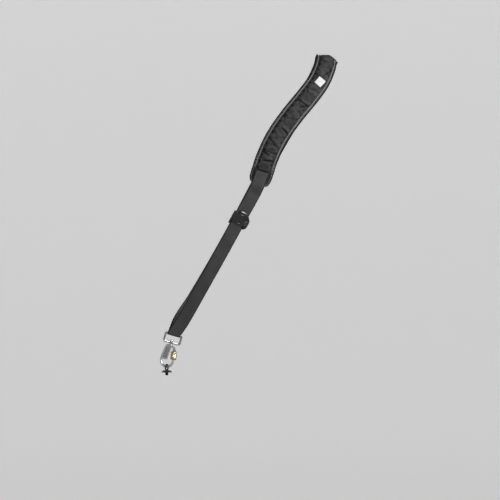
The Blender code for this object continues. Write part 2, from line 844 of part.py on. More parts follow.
def make_hook(matter):
    path = hook_path()
    hook = finish("hook_body", tube(path, BAR_RADIUS, 12), matter)
    hook.matrix_world = hook_frame()
    seat = RING_BOSS_HALF + POST_SEAT
    post = [
        (NECK_RADIUS, -HOOK_TOP - 0.4 * MM),
        (NECK_RADIUS, -seat - 0.5 * MM),
        (NECK_RADIUS - 0.5 * MM, -seat),
        (POST_RADIUS, -seat),
        (POST_RADIUS, seat),
        (HEAD_RADIUS, seat),
        (HEAD_RADIUS, seat + HEAD_HEIGHT * 0.35),
        (HEAD_RADIUS * 0.8, seat + HEAD_HEIGHT * 0.8),
        (HEAD_RADIUS * 0.35, seat + HEAD_HEIGHT),
    ]
    combine(hook, turned(post, 16), "UNION")
    foot_x, foot_z = spine_foot()
    slope = math.tan(SPINE_LEAN)
    top_z = -HOOK_TOP - 2.0 * MM
    low_z = -GRIP_FOOT
    outer = foot_x - BAR_RADIUS * 0.96
    left_top = outer + (top_z - SHOULDER_BEND - foot_z) * slope
    left_low = outer + (low_z - foot_z) * slope * 0.2
    grip = [
        (left_low, low_z + MM),
        (left_low + MM, low_z),
        (left_low + GRIP_WIDTH_FOOT - MM, low_z),
        (left_low + GRIP_WIDTH_FOOT, low_z + MM),
        (left_top + GRIP_WIDTH_TOP, -GATE_HINGE_DROP - 2 * MM),
        (left_top + GRIP_WIDTH_TOP, top_z),
        (left_top + SHOULDER_BEND, top_z),
        (left_top, top_z - SHOULDER_BEND),
    ]
    combine(hook, prism(grip, -BAR_RADIUS * 0.94, BAR_RADIUS * 0.94, "xz"), "UNION")
    hinge = Vector(gate_hinge())
    end = Vector(path[-1])
    away = math.degrees(math.atan2(end.y - hinge.y, end.x - hinge.x))
    ear = arc(hinge, EAR_RADIUS, away + 90, away + 270, 8)
    ear += arc(end, EAR_RADIUS * 0.7, away - 90, away + 90, 4)
    combine(hook, prism(ear, -EAR_HALF, EAR_HALF, "xz"), "UNION")
    bore = [(hinge.x + x, hinge.y + z) for x, z in circle(GATE_PIN_RADIUS + GAP, 12)]
    combine(hook, prism(bore, -BAR_RADIUS * 2, BAR_RADIUS * 2, "xz"), "DIFFERENCE")
    return hook


def fork_root():
    """Distance from the hinge pin to the root of the gate's fork, clear of the hook's ear."""
    return EAR_RADIUS + GAP + 0.2 * MM


def make_gate(matter):
    """The gate has its origin on its hinge pin: a fork at the top, then a round bar."""
    start = fork_root()
    length = nose_reach() - GATE_GAP
    bar = [
        (BAR_RADIUS * 0.9, -length),
        (BAR_RADIUS, -length + 0.3 * MM),
        (BAR_RADIUS, -start),
    ]
    gate = finish("hook_gate", turned(bar, 12), matter)
    gate.matrix_world = gate_frame()
    inner = EAR_HALF + GAP
    outer = inner + CHEEK_THICK
    for low, high in ((-outer, -inner), (inner, outer)):
        cheek = arc((0, 0), EAR_RADIUS, 0, 180, 8)
        cheek += [(-BAR_RADIUS, -start), (-BAR_RADIUS * 0.6, -start - 0.5 * MM)]
        cheek += [(BAR_RADIUS * 0.6, -start - 0.5 * MM), (BAR_RADIUS, -start)]
        combine(gate, prism(cheek, low, high, "xz"), "UNION")
    bore = circle(GATE_PIN_RADIUS + GAP, 12)
    combine(gate, prism(bore, -outer - MM, outer + MM, "xz"), "DIFFERENCE")
    return gate


def make_gate_pin(matter):
    half = EAR_HALF + GAP + CHEEK_THICK
    pin = finish("gate_pin", prism(circle(GATE_PIN_RADIUS, 10), -half, half, "xz"), matter)
    pin.matrix_world = gate_frame()
    return pin


def make_sleeve(matter):
    top = -(fork_root() + 0.5 * MM + GAP)
    low = top - SLEEVE_LENGTH
    inner = SLEEVE_RADIUS - SLEEVE_CHAMFER
    barrel = [
        (inner, low),
        (SLEEVE_RADIUS, low + SLEEVE_CHAMFER),
        (SLEEVE_RADIUS, top - SLEEVE_CHAMFER),
        (inner, top),
    ]
    sleeve = finish("lock_sleeve", turned(barrel, 16), matter)
    sleeve.matrix_world = gate_frame()
    inside = BAR_RADIUS + SLEEVE_PLAY
    combine(sleeve, turned([(inside, low - MM), (inside, top + MM)], 16), "DIFFERENCE")
    return sleeve


# Camera fastener, hanging from the lowest point of the hook's basket


def fastener_frame():
    """Origin in the middle of the hook's bar at its lowest point, x along the bar, z up."""
    hook = hook_frame()
    down = hook.to_3x3().transposed() @ Vector((0, 0, -1))
    lean = Vector((down.x, 0, down.z)).normalized()
    spot = hook @ (Vector((BASKET_SIDE, 0, -BASKET_DROP)) + lean * BASKET_RADIUS)
    along = (hook.to_3x3() @ Vector((-lean.z, 0, lean.x))).normalized()
    up = Vector((0, 0, 1))
    turn = Matrix((along, up.cross(along), up)).transposed().to_4x4()
    return Matrix.Translation(spot) @ turn


def flange_top():
    centre = -(EYE_INSIDE - BAR_RADIUS - GAP)
    return centre - EYE_INSIDE - 2 * EYE_WIRE + EYE_SINK


def make_fastener(matter):
    """A round eye that stands on a flange, with the camera screw below it."""
    centre = -(EYE_INSIDE - BAR_RADIUS - GAP)
    middle = EYE_INSIDE + EYE_WIRE
    rings = []
    sides = 20
    for i in range(sides):
        angle = 2 * math.pi * i / sides
        out = Vector((0, math.cos(angle), math.sin(angle)))
        spot = Vector((0, 0, centre)) + out * middle
        rings.append(
            [spot + Vector((1, 0, 0)) * a + out * b for a, b in circle(EYE_WIRE, 8)]
        )
    fastener = finish("fastener_eye", skin(rings, closed=True), matter)
    fastener.matrix_world = fastener_frame()
    top = flange_top()
    low = top - FLANGE_THICK
    base = [
        (STUD_RADIUS * 0.86, low - WASHER_THICK - STUD_LENGTH),
        (STUD_RADIUS, low - WASHER_THICK - STUD_LENGTH + 0.5 * MM),
        (STUD_RADIUS, low),
        (FLANGE_RADIUS, low),
        (FLANGE_RADIUS, top - 0.4 * MM),
        (FLANGE_RADIUS - 0.4 * MM, top),
        (EYE_WIRE * 2.2, top),
        (EYE_WIRE * 1.5, top + EYE_SINK * 0.6),
    ]
    combine(fastener, turned(base, 20), "UNION")
    return fastener


def make_washer(matter):
    high = flange_top() - FLANGE_THICK - GAP
    low = high - WASHER_THICK + GAP
    edge = 0.4 * MM
    rim = [
        (WASHER_RADIUS - edge, low),
        (WASHER_RADIUS, low + edge),
        (WASHER_RADIUS, high - edge),
        (WASHER_RADIUS - edge, high),
    ]
    washer = finish("fastener_washer", turned(rim, 24), matter)
    washer.matrix_world = fastener_frame()
    bore = [(STUD_RADIUS + GAP, low - MM), (STUD_RADIUS + GAP, high + MM)]
    combine(washer, turned(bore, 16), "DIFFERENCE")
    return washer


def main():
    clear_scene()
    cloth = material("pad_cloth", (0.045, 0.045, 0.048), 0.9)
    tape = material("binding_tape", (0.012, 0.012, 0.013), 0.8)
    cord = material("piping_cord", (0.35, 0.35, 0.36), 0.8)
    patch = material("patch_cloth", (0.8, 0.8, 0.8), 0.8)
    nylon = material("nylon_webbing", (0.05, 0.05, 0.053), 0.75)
    plastic = material("moulded_plastic", (0.015, 0.015, 0.016), 0.45)
    steel = material("steel", (0.6, 0.6, 0.6), 0.25, 1.0)
    satin = material("satin_steel", (0.4, 0.4, 0.4), 0.4, 1.0)
    brass = material("brass", (0.65, 0.5, 0.22), 0.3, 1.0)
    black_steel = material("black_steel", (0.02, 0.02, 0.021), 0.4, 0.6)
    rubber = material("black_rubber", (0.012, 0.012, 0.012), 0.7)
    route = Route()
    make_shoulder_pad(route, cloth)
    make_binding(route, tape)
    make_panel(route, cloth)
    make_piping("piping_left", route, -1, cord)
    make_piping("piping_right", route, 1, cord)
    make_patch(route, patch)
    make_webbing(route, nylon)
    frame = lock_frame(route)
    make_lock_base(frame, plastic)
    make_lock_lid(frame, plastic)
    make_lock_pin(frame, satin)
    make_ring(steel)
    make_hook(satin)
    make_gate(satin)
    make_gate_pin(steel)
    make_sleeve(brass)
    make_fastener(black_steel)
    make_washer(rubber)


main()
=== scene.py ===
import math

import bmesh
import bpy
import numpy as np
from mathutils import Matrix, Vector, noise


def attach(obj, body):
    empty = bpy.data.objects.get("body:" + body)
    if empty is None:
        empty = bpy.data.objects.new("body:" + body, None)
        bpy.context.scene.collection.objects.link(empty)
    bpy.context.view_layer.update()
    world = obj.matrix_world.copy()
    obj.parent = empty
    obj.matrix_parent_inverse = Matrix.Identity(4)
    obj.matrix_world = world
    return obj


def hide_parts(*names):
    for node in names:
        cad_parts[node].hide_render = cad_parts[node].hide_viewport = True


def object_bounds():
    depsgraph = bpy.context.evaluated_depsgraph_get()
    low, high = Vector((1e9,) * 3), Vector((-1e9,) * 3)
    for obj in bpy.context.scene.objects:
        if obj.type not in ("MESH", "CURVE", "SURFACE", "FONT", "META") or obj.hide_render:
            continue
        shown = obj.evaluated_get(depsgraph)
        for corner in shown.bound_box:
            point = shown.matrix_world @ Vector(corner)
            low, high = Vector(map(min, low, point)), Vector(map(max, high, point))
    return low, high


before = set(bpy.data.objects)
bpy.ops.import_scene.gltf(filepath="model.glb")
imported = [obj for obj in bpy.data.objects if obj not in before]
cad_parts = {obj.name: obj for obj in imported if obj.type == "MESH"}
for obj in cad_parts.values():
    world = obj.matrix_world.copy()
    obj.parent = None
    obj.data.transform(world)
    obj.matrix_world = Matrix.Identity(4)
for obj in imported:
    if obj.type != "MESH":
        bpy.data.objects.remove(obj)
cad_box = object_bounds()

MM = 0.001

# The strap's route, as the CAD source gives it
LOOP_DROP = 593.2 * MM
CHEST_DEPTH = 120 * MM
BACK_DEPTH = 100 * MM
SWAY = 10 * MM
LOOP_LEAN = math.radians(29.2)
SHOULDER_SLOPE = math.radians(20)
SHOULDER_REACH = 45 * MM
BAR_LEAN = math.radians(16)
RING_DEPTH = -0.215 * CHEST_DEPTH
WIRE_RADIUS = 2.0 * MM
GAP = 0.3 * MM
FOLD_STEPS = 8
ROUTE_STEP = 2.5 * MM

# Webbing, pad, binding, panel, piping and patch
WEB_WIDTH = 25.4 * MM
WEB_THICK = 1.7 * MM
TONGUE_LENGTH = 22 * MM
PAD_WIDTH = 43 * MM
PAD_FRONT = 313 * MM
PAD_BACK = 112 * MM
PAD_LENGTH = PAD_FRONT + PAD_BACK
PAD_THICK = 8 * MM
PAD_END_THICK = 4.6 * MM
PAD_CROWN = 1.0 * MM
PAD_END_ROUND = 16 * MM
PAD_END_FLAT = 26 * MM
PAD_TAPER = 60 * MM
BINDING_THICK = 2.4 * MM
BINDING_OVER = 0.2 * MM
BINDING_GIRTH = 22 * MM
PANEL_WIDTH = 30 * MM
PANEL_THICK = 2.0 * MM
PANEL_CROWN = 1.2 * MM
PANEL_END_ROUND = 8 * MM
PANEL_TO_TONGUE = 3 * MM
PANEL_FRONT = PAD_FRONT - TONGUE_LENGTH - PANEL_TO_TONGUE
PANEL_BACK = PAD_BACK - TONGUE_LENGTH - PANEL_TO_TONGUE
PANEL_LENGTH = PANEL_FRONT + PANEL_BACK
PANEL_SEAM = 0.92
GATHER_PITCH = 12 * MM
GATHER_DEPTH = 1.1 * MM
FOLD_DEPTH = 1.3 * MM
FOLD_WIDTH = 2.6 * MM
SHARP_FOLD = 1.3 * MM
DEEP_FOLD = 1.2 * MM
PIPING_THICK = 1.6 * MM
PATCH_SIDE = 15 * MM
PATCH_THICK = 0.9 * MM
PATCH_AT = 80 * MM
PATCH_ASIDE = PANEL_WIDTH * 0.10
PATCH_TURN = math.radians(10)

# On top of the shoulder the pad's rims flare up, and a roll rises across it, highest near its
# middle line
SHOULDER_AT = 5 * MM
SHOULDER_SPREAD = 42 * MM
SHOULDER_FLARE = 1.7 * MM
SHOULDER_ROLL = 4.4 * MM
ROLL_START = -17 * MM
ROLL_RISE = 20 * MM
ROLL_FALL = 15 * MM
ROLL_FALL_SHARE = 0.4

# The puckers' simulation: its scale and its cell
PUCKER_SCALE = 20
PUCKER_CELL = 1.0 * MM

# Slide lock
LOCK_AT = 393 * MM
LOCK_LEFT = 14.9 * MM
LOCK_RIGHT = 19.3 * MM
LOCK_LENGTH = 26 * MM
LOCK_CORNER = 9 * MM
LOCK_SMALL_CORNER = 2 * MM
LOCK_FLOOR = 2.4 * MM
LOCK_SLOT = 0.5 * MM
LOCK_SIDE_PLAY = 0.4 * MM
LID_RADIUS = 16 * MM
LID_CENTRE = 1.9 * MM
LID_UP = 3.8 * MM
LID_CUT = 9.1 * MM
LID_THICK = 2.9 * MM
LID_BEVEL = math.radians(29)
LID_TAB = 6.5 * MM
LID_UNDER = WEB_THICK + LOCK_SLOT
BARREL_RADIUS = 1.8 * MM
BARREL_LENGTH = 15.2 * MM
BARREL_SIDE = -(WEB_WIDTH / 2 + BARREL_RADIUS)
BARREL_LEVEL = LID_UNDER + LID_THICK - BARREL_RADIUS
BARREL_HIGH = LOCK_LENGTH / 2 + 1.0 * MM
BARREL_LOW = BARREL_HIGH - BARREL_LENGTH
LOCK_PIN_RADIUS = 0.7 * MM

# Ring
RING_INSIDE = 27 * MM
RING_BAR_SPACING = 16.8 * MM
RING_BEND = 3.2 * MM
RING_BOSS_RADIUS = 3.9 * MM
RING_BOSS_HALF = 2.4 * MM

# Hook, gate and sleeve
HOOK_LEAN = math.radians(13)
HOOK_TURN = math.radians(-28)
BAR_RADIUS = 2.2 * MM
POST_RADIUS = 1.5 * MM
POST_PLAY = 0.4 * MM
POST_SEAT = 0.45 * MM
HEAD_RADIUS = 3.4 * MM
HEAD_HEIGHT = 2.9 * MM
NECK_RADIUS = 3.2 * MM
HOOK_TOP = 6.5 * MM
BASKET_RADIUS = 13.1 * MM
BASKET_DROP = 33.7 * MM
BASKET_SIDE = -1.1 * MM
NOSE_RISE = 1.1 * MM
SPINE_LEAN = math.radians(12.2)
SHOULDER_BEND = 4.7 * MM
GRIP_FOOT = 33.6 * MM
GRIP_WIDTH_TOP = 12.5 * MM
GRIP_WIDTH_FOOT = 13.6 * MM
GATE_HINGE_DROP = 11.8 * MM
GATE_LEAN = math.radians(7.5)
GATE_GAP = 0.5 * MM
EAR_RADIUS = 2.5 * MM
EAR_HALF = 1.2 * MM
CHEEK_THICK = 1.2 * MM
GATE_PIN_RADIUS = 0.7 * MM
FORK_ROOT = EAR_RADIUS + GAP + 0.2 * MM
SLEEVE_RADIUS = 5.9 * MM
SLEEVE_LENGTH = 15.4 * MM
SLEEVE_PLAY = 0.55 * MM
SLEEVE_EDGE = 0.9 * MM

# Camera fastener
EYE_WIRE = 1.5 * MM
EYE_INSIDE = 3.75 * MM
EYE_SINK = 1.0 * MM
EYE_CENTRE = -(EYE_INSIDE - BAR_RADIUS - GAP)
FLANGE_RADIUS = 7.5 * MM
FLANGE_THICK = 1.6 * MM
FLANGE_TOP = EYE_CENTRE - EYE_INSIDE - 2 * EYE_WIRE + EYE_SINK
STUD_RADIUS = 3.1 * MM
STUD_LENGTH = 5.5 * MM
STUD_PITCH = 1.27 * MM
WASHER_RADIUS = 10 * MM
WASHER_THICK = 2.4 * MM
WASHER_EDGE = 0.45 * MM

# The photograph's view: straight on, from far off. The picture is 500 px square, 1.9 mm a px,
# and the strap's origin is at ORIGIN_PX in it
PX = 1.9 * MM
PICTURE = 500
ORIGIN_PX = (326.3, 61.6)
SHOT_DISTANCE = 7.5
STRAP_DEPTH = -0.03

SIDEWAYS = Vector((math.cos(LOOP_LEAN), 0, -math.sin(LOOP_LEAN)))
DOWNWARD = Vector((-math.sin(LOOP_LEAN), 0, -math.cos(LOOP_LEAN)))
BACKWARD = Vector((0, 1, 0))

CHEST_ROUTE = [
    # drop, depth, sway
    (0.005, 0.167, -0.09),
    (0.022, 0.308, 0.28),
    (0.065, 0.450, 0.57),
    (0.103, 0.533, 0.42),
    (0.140, 0.633, 0.10),
    (0.220, 0.808, -0.70),
    (0.297, 0.925, -1.10),
    (0.367, 0.983, -0.81),
    (0.416, 1.000, -0.24),
    (0.466, 0.983, 0.22),
    (0.574, 0.917, 0.27),
    (0.686, 0.783, 0.32),
    (0.832, 0.525, 0.30),
    (0.944, 0.325, 0.25),
]
BACK_ROUTE = [
    # drop, depth, sway
    (0.005, 0.200, 0.00),
    (0.022, 0.370, 0.25),
    (0.065, 0.540, 0.43),
    (0.110, 0.700, 0.29),
    (0.268, 0.970, -0.21),
    (0.420, 1.000, -0.17),
    (0.571, 0.880, 0.07),
    (0.723, 0.620, 0.12),
    (0.866, 0.190, -0.04),
    (0.951, -0.090, -0.37),
]
PANEL_FOLDS = [
    # start along, start across, end along, end across
    (0.33, -0.95, 0.43, -0.10),
    (0.46, 0.90, 0.52, 0.05),
    (0.60, -0.95, 0.66, -0.35),
    (0.80, -0.70, 0.83, 0.55),
    (0.88, -0.60, 0.87, 0.75),
    (0.17, 0.95, 0.23, 0.10),
    (0.09, -0.95, 0.13, -0.30),
]
DEEP_FOLDS = [
    # start along, start across, end along, end across
    (0.479, -0.62, 0.472, 0.95),
    (0.715, 0.95, 0.703, -0.05),
    (0.887, -0.92, 0.898, 0.10),
    (0.926, 0.92, 0.942, -0.45),
]


def clamp(value, low=0.0, high=1.0):
    return min(max(value, low), high)


def smoothstep(value):
    value = clamp(value)
    return value * value * (3 - 2 * value)


def bell(away, width):
    """1 at a spot, and nearly 0 farther from it than twice the width."""
    return math.exp(-((away / width) ** 2))


def spaced(start, end, step):
    count = max(2, round(abs(end - start) / step))
    return [start + (end - start) * i / count for i in range(count + 1)]


def fine_noise(x, y, scale, seed=0.0):
    return noise.noise(Vector((x / scale, y / scale, seed)))


# The route of the loop, the same as in the source


def place(drop, depth, sway):
    return DOWNWARD * drop + BACKWARD * depth + SIDEWAYS * sway


def tangent_angle(drop, depth, side):
    """Where the webbing, coming from a point, touches the ring's bar."""
    across = depth - RING_DEPTH
    down = drop - LOOP_DROP
    touch = math.acos((WIRE_RADIUS + GAP) / math.hypot(across, down))
    return (math.atan2(down, across) + side * touch) % (2 * math.pi)


def fold_points():
    bar_down = Vector((-math.sin(BAR_LEAN), 0, -math.cos(BAR_LEAN)))
    last = CHEST_ROUTE[-1]
    front = tangent_angle(last[0] * LOOP_DROP, -last[1] * CHEST_DEPTH, -1)
    last = BACK_ROUTE[-1]
    back = tangent_angle(last[0] * LOOP_DROP, last[1] * BACK_DEPTH, 1)
    centre = place(LOOP_DROP, RING_DEPTH, 0)
    points = []
    for i in range(FOLD_STEPS + 1):
        angle = front + (back - front) * i / FOLD_STEPS
        out = BACKWARD * math.cos(angle) + bar_down * math.sin(angle)
        points.append(centre + out * (WIRE_RADIUS + GAP))
    return points


class Route:
    """The loop's inner face, read by its length from the shoulder, positive down the chest."""

    def __init__(self):
        rows = [(Vector((0, 0, 0)), SHOULDER_SLOPE, 1.0)]
        for drop, depth, sway in CHEST_ROUTE:
            rows.append(self.row(drop, -depth * CHEST_DEPTH, sway))
        rows += [(point, BAR_LEAN, 0.0) for point in fold_points()]
        for drop, depth, sway in reversed(BACK_ROUTE):
            rows.append(self.row(drop, depth * BACK_DEPTH, sway))
        samples = self.smooth(rows)
        points = np.array([tuple(sample[0]) for sample in samples])
        steps = np.linalg.norm(points[1:] - points[:-1], axis=1)
        self.lengths = np.concatenate([[0.0], np.cumsum(steps)])
        self.total = float(self.lengths[-1])
        self.table = np.column_stack([points, [s[1] for s in samples], [s[2] for s in samples]])
        self.fold_at = float(self.lengths[int(points[:, 2].argmin())])

    @staticmethod
    def row(drop, depth, sway):
        onto_back = smoothstep(drop * LOOP_DROP / SHOULDER_REACH)
        slope = SHOULDER_SLOPE + (LOOP_LEAN - SHOULDER_SLOPE) * onto_back
        near_ring = smoothstep((drop - 0.90) / 0.10)
        slope += (BAR_LEAN - slope) * near_ring * 0.5
        return place(drop * LOOP_DROP, depth, sway * SWAY), slope, 1.0 - near_ring

    @staticmethod
    def smooth(rows):
        count = len(rows)
        chords = [(rows[(i + 1) % count][0] - rows[i][0]).length for i in range(count)]
        samples = []
        for i in range(count):
            here = chords[i]
            point = [rows[(i + k) % count] for k in (-1, 0, 1, 2)]
            leave = (point[2][0] - point[0][0]) * (here / (chords[i - 1] + here))
            arrive = (point[3][0] - point[1][0]) * (here / (here + chords[(i + 1) % count]))
            steps = max(1, round(here / ROUTE_STEP))
            for k in range(steps):
                u = k / steps
                spot = point[1][0] * ((1 + 2 * u) * (1 - u) ** 2) + leave * (u * (1 - u) ** 2)
                spot += point[2][0] * (u * u * (3 - 2 * u)) + arrive * (u * u * (u - 1))
                slope = point[1][1] + (point[2][1] - point[1][1]) * u
                square = point[1][2] + (point[2][2] - point[1][2]) * u
                samples.append((spot, slope, square))
        samples.append(samples[0])
        return samples

    def read(self, length):
        length %= self.total
        return [float(np.interp(length, self.lengths, column)) for column in self.table.T]

    def frame(self, length):
        """Point, direction along, direction across and outward normal of the loop."""
        x, y, z, slope, square = self.read(length)
        reach = 1.0 * MM
        after = self.read(length + reach)
        before = self.read(length - reach)
        along = Vector((after[0] - before[0], after[1] - before[1], after[2] - before[2]))
        along.normalize()
        level = Vector((math.cos(slope), 0, -math.sin(slope)))
        outward = along.cross(level).normalized()
        across = (level - along * level.dot(along) * square).normalized()
        return Vector((x, y, z)), along, across, outward

    def lay(self, bm):
        """Bends a flat piece round the worn loop: x is across it, y along it, z outward."""
        frames = {}
        for vert in bm.verts:
            length = round(vert.co.y, 6)
            if length not in frames:
                frames[length] = self.frame(length)
            point, _, across, outward = frames[length]
            x, z = vert.co.x, vert.co.z
            rolled = smoothstep((x - ROLL_START) / ROLL_RISE)
            rolled -= ROLL_FALL_SHARE * smoothstep(x / ROLL_FALL)
            z += SHOULDER_ROLL * over_shoulder(length) * rolled
            vert.co = point + across * x + outward * z
        # The bend mirrors the piece, so its faces are turned to face outward again
        bmesh.ops.reverse_faces(bm, faces=bm.faces)


ROUTE = Route()


def to_pad_end(length):
    return min(PAD_FRONT - length, length + PAD_BACK)


def to_panel_end(length):
    return min(PANEL_FRONT - length, length + PANEL_BACK)


def pad_thickness(length):
    return PAD_END_THICK + (PAD_THICK - PAD_END_THICK) * smoothstep(to_pad_end(length) / PAD_TAPER)


def pad_half_width(length):
    full = PAD_WIDTH / 2 - BINDING_THICK - GAP
    end = PAD_END_FLAT / 2
    share = clamp(to_pad_end(length) / PAD_END_ROUND)
    return full if share == 1 else end + (full - end) * math.sqrt(1 - (1 - share) ** 2)


def over_shoulder(length):
    """1 on top of the shoulder, where the pad bends most; 0 away from it."""
    return smoothstep(1 - abs(length - SHOULDER_AT) / SHOULDER_SPREAD)


def pad_top(length, across):
    share = min(abs(across) / pad_half_width(length), 1.0)
    crown = PAD_CROWN * (1 - share**2) * (1 - over_shoulder(length))
    square = 5 + 11 * over_shoulder(length)
    return pad_thickness(length) / 2 * (1 + math.sqrt(max(1 - share**square, 0.0))) + crown


def panel_half_width(length):
    share = clamp(to_panel_end(length) / PANEL_END_ROUND)
    return PANEL_WIDTH / 2 * (0.78 + 0.22 * math.sqrt(1 - (1 - share) ** 2))


def gathers(length, share):
    """The soft waves that the seams draw in the cloth; they fade towards the middle."""
    side = -1 if share < 0 else 1
    shift = 0.35 * GATHER_PITCH * side
    wander = 0.22 * GATHER_PITCH * math.sin(length / (3.1 * GATHER_PITCH) + side)
    turn = 2 * math.pi * (length + shift + wander) / GATHER_PITCH
    reach = 1.6 + 0.8 * math.sin(length / (1.9 * GATHER_PITCH) + 2 * side)
    return GATHER_DEPTH * (math.cos(turn) - 1) / 2 * abs(share) ** reach


def creases(length, share, width=FOLD_WIDTH, folds=PANEL_FOLDS):
    spot = Vector((length, share * PANEL_WIDTH / 2))
    depth = 0.0
    for start_along, start_across, end_along, end_across in folds:
        first = Vector((start_along * PANEL_FRONT, start_across * PANEL_WIDTH / 2))
        second = Vector((end_along * PANEL_FRONT, end_across * PANEL_WIDTH / 2))
        line = second - first
        u = clamp((spot - first).dot(line) / line.length_squared)
        depth -= FOLD_DEPTH * bell((spot - first - line * u).length, width) * (1 - 0.6 * u)
    return depth


def panel_height(length, share):
    base = pad_top(length, share * panel_half_width(length)) + GAP + PANEL_THICK
    ends = smoothstep(to_panel_end(length) / PANEL_END_ROUND)
    crown = PANEL_CROWN * (1 - share**4) * ends * (1 - 0.7 * over_shoulder(length))
    relief = (gathers(length, share) + creases(length, share)) * ends
    return base + crown + max(relief, -0.75 * PANEL_THICK - crown * 0.5)


# Making and placing pieces


def linear(hex_colour):
    """An sRGB hex colour as linear RGBA."""
    value = hex_colour.lstrip("#")
    parts = [int(value[i : i + 2], 16) / 255 for i in (0, 2, 4)]
    return [p / 12.92 if p <= 0.04045 else ((p + 0.055) / 1.055) ** 2.4 for p in parts] + [1.0]


def link(name, data):
    made = bpy.data.objects.new(name, data)
    bpy.context.scene.collection.objects.link(made)
    return made


def as_object(bm, name):
    mesh = bpy.data.meshes.new(name)
    bm.to_mesh(mesh)
    bm.free()
    return link(name, mesh)


def as_bmesh(made):
    """The mesh of an object with its modifiers applied; the object goes."""
    graph = bpy.context.evaluated_depsgraph_get()
    mesh = bpy.data.meshes.new_from_object(made.evaluated_get(graph))
    bm = bmesh.new()
    bm.from_mesh(mesh)
    bpy.data.meshes.remove(mesh)
    bpy.data.objects.remove(made)
    return bm


def set_in(bm, matrix):
    bmesh.ops.transform(bm, matrix=matrix, verts=bm.verts)
    return bm


def finish_piece(bm, name, material, body, angle, cover=None):
    """Links the mesh as a piece that rides on a body and takes a slot's finish."""
    piece = as_object(bm, name)
    piece.data.shade_smooth()
    piece.data.set_sharp_from_angle(angle=math.radians(angle))
    piece.data.materials.append(material)
    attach(piece, body)
    if cover:
        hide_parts(cover)
    return piece


def finish_soft(bm, name, material, angle, cover=None):
    """Bends a flat piece round the worn loop and finishes it as a piece of the strap."""
    ROUTE.lay(bm)
    return finish_piece(bm, name, material, "strap", angle, cover)


def blank(columns, rows, shape, pattern=None, loop=False):
    """A flat grid rolled into a tube: shape(u, v) places a vertex and pattern(u, v) its weave.

    Its long sides meet. Its ends are filled, or meet each other where loop is set.
    """
    bm = bmesh.new()
    uv = bm.loops.layers.uv.new("Cloth")
    bmesh.ops.create_grid(bm, x_segments=columns, y_segments=rows, size=0.5)
    spots = {vert: (vert.co.x + 0.5, vert.co.y + 0.5) for vert in bm.verts}
    if pattern:
        for face in bm.faces:
            for corner in face.loops:
                corner[uv].uv = pattern(*spots[corner.vert])
    for vert, (u, v) in spots.items():
        vert.co = shape(u, v)
    bmesh.ops.remove_doubles(bm, verts=bm.verts, dist=1e-7)
    if not loop:
        rims = [edge for edge in bm.edges if edge.is_boundary]
        bmesh.ops.holes_fill(bm, edges=rims, sides=0)
    bmesh.ops.recalc_face_normals(bm, faces=bm.faces)
    return bm


def extrude(bm, faces, height):
    """Thickens faces into a plate."""
    grown = bmesh.ops.extrude_face_region(bm, geom=faces)
    top = [item for item in grown["geom"] if isinstance(item, bmesh.types.BMVert)]
    bmesh.ops.translate(bm, verts=top, vec=(0, 0, height))
    bmesh.ops.recalc_face_normals(bm, faces=bm.faces)


# Materials

MULTIPLY_COLOURS = {"data_type": "RGBA", "blend_type": "MULTIPLY"}


def feed(node, inputs):
    """Gives inputs of a node their values, or links them where the value is a socket."""
    for key, value in inputs.items():
        if isinstance(value, bpy.types.NodeSocket):
            node.id_data.links.new(value, node.inputs[key])
        else:
            node.inputs[key].default_value = value


def add(tree, kind, inputs=(), output=0, stops=(), **settings):
    """Adds a node and gives one of its outputs. Inputs go by order or name; stops are a ramp's."""
    node = tree.nodes.new("ShaderNode" + kind)
    for key, value in settings.items():
        setattr(node, key, value)
    for index, (position, colour) in enumerate(stops):
        node.color_ramp.elements[index].position = position
        node.color_ramp.elements[index].color = linear(colour)
    feed(node, inputs if isinstance(inputs, dict) else dict(enumerate(inputs)))
    return node.outputs[output]


def new_material(name, colour, roughness, metallic=0.0, **inputs):
    """A material and its nodes; inputs are more of its shader's, with _ for a space."""
    made = bpy.data.materials.new(name)
    made.use_nodes = True
    values = {"Base Color": linear(colour), "Roughness": roughness, "Metallic": metallic}
    values.update({key.replace("_", " "): value for key, value in inputs.items()})
    feed(made.node_tree.nodes["Principled BSDF"], values)
    return made, made.node_tree


def coat(made, height, strength, depth, **links):
    """Links a material's bumps, and more of its shader's inputs, and returns it."""
    links = {key.replace("_", " "): value for key, value in links.items()}
    if strength:
        bump = {"Height": height, "Strength": strength, "Distance": depth}
        links["Normal"] = add(made.node_tree, "Bump", bump)
    feed(made.node_tree.nodes["Principled BSDF"], links)
    return made


def speckle(tree, scale, detail, stretch=None, **inputs):
    """Noise that fills the object, from 0 to 1; stretch is its scale along each axis."""
    spots = add(tree, "TexCoord", output="Object")
    if stretch:
        spots = add(tree, "Mapping", {"Vector": spots, "Scale": stretch})
    inputs.update({"Vector": spots, "Scale": scale, "Detail": detail})
    return add(tree, "TexNoise", inputs, "Fac")


def mottled(tree, scale, low, high, detail=4.0):
    """A soft cloudy mix of two colours."""
    return add(tree, "ValToRGB", [speckle(tree, scale, detail)], stops=[(0.35, low), (0.68, high)])


def cloth_ways(tree):
    """Metres across and metres along the piece's own cloth."""
    split = add(tree, "SeparateXYZ", [add(tree, "UVMap", uv_map="Cloth")]).node
    return split.outputs["X"], split.outputs["Y"]


def wave(tree, way, pitch):
    """Height of ribs at a pitch along a way, from -1 to 1."""
    turned = add(tree, "Math", [way, 2 * math.pi / pitch], operation="MULTIPLY")
    return add(tree, "Math", [turned], operation="SINE")


def weave(tree, thread):
    """Height of a plain weave."""
    across, along = [wave(tree, way, 2 * thread) for way in cloth_ways(tree)]
    crossing = add(tree, "Math", [across, along], operation="MULTIPLY")
    over = add(tree, "Math", [crossing], operation="ABSOLUTE")
    return add(tree, "Math", [crossing, 0.4, over], operation="MULTIPLY_ADD")


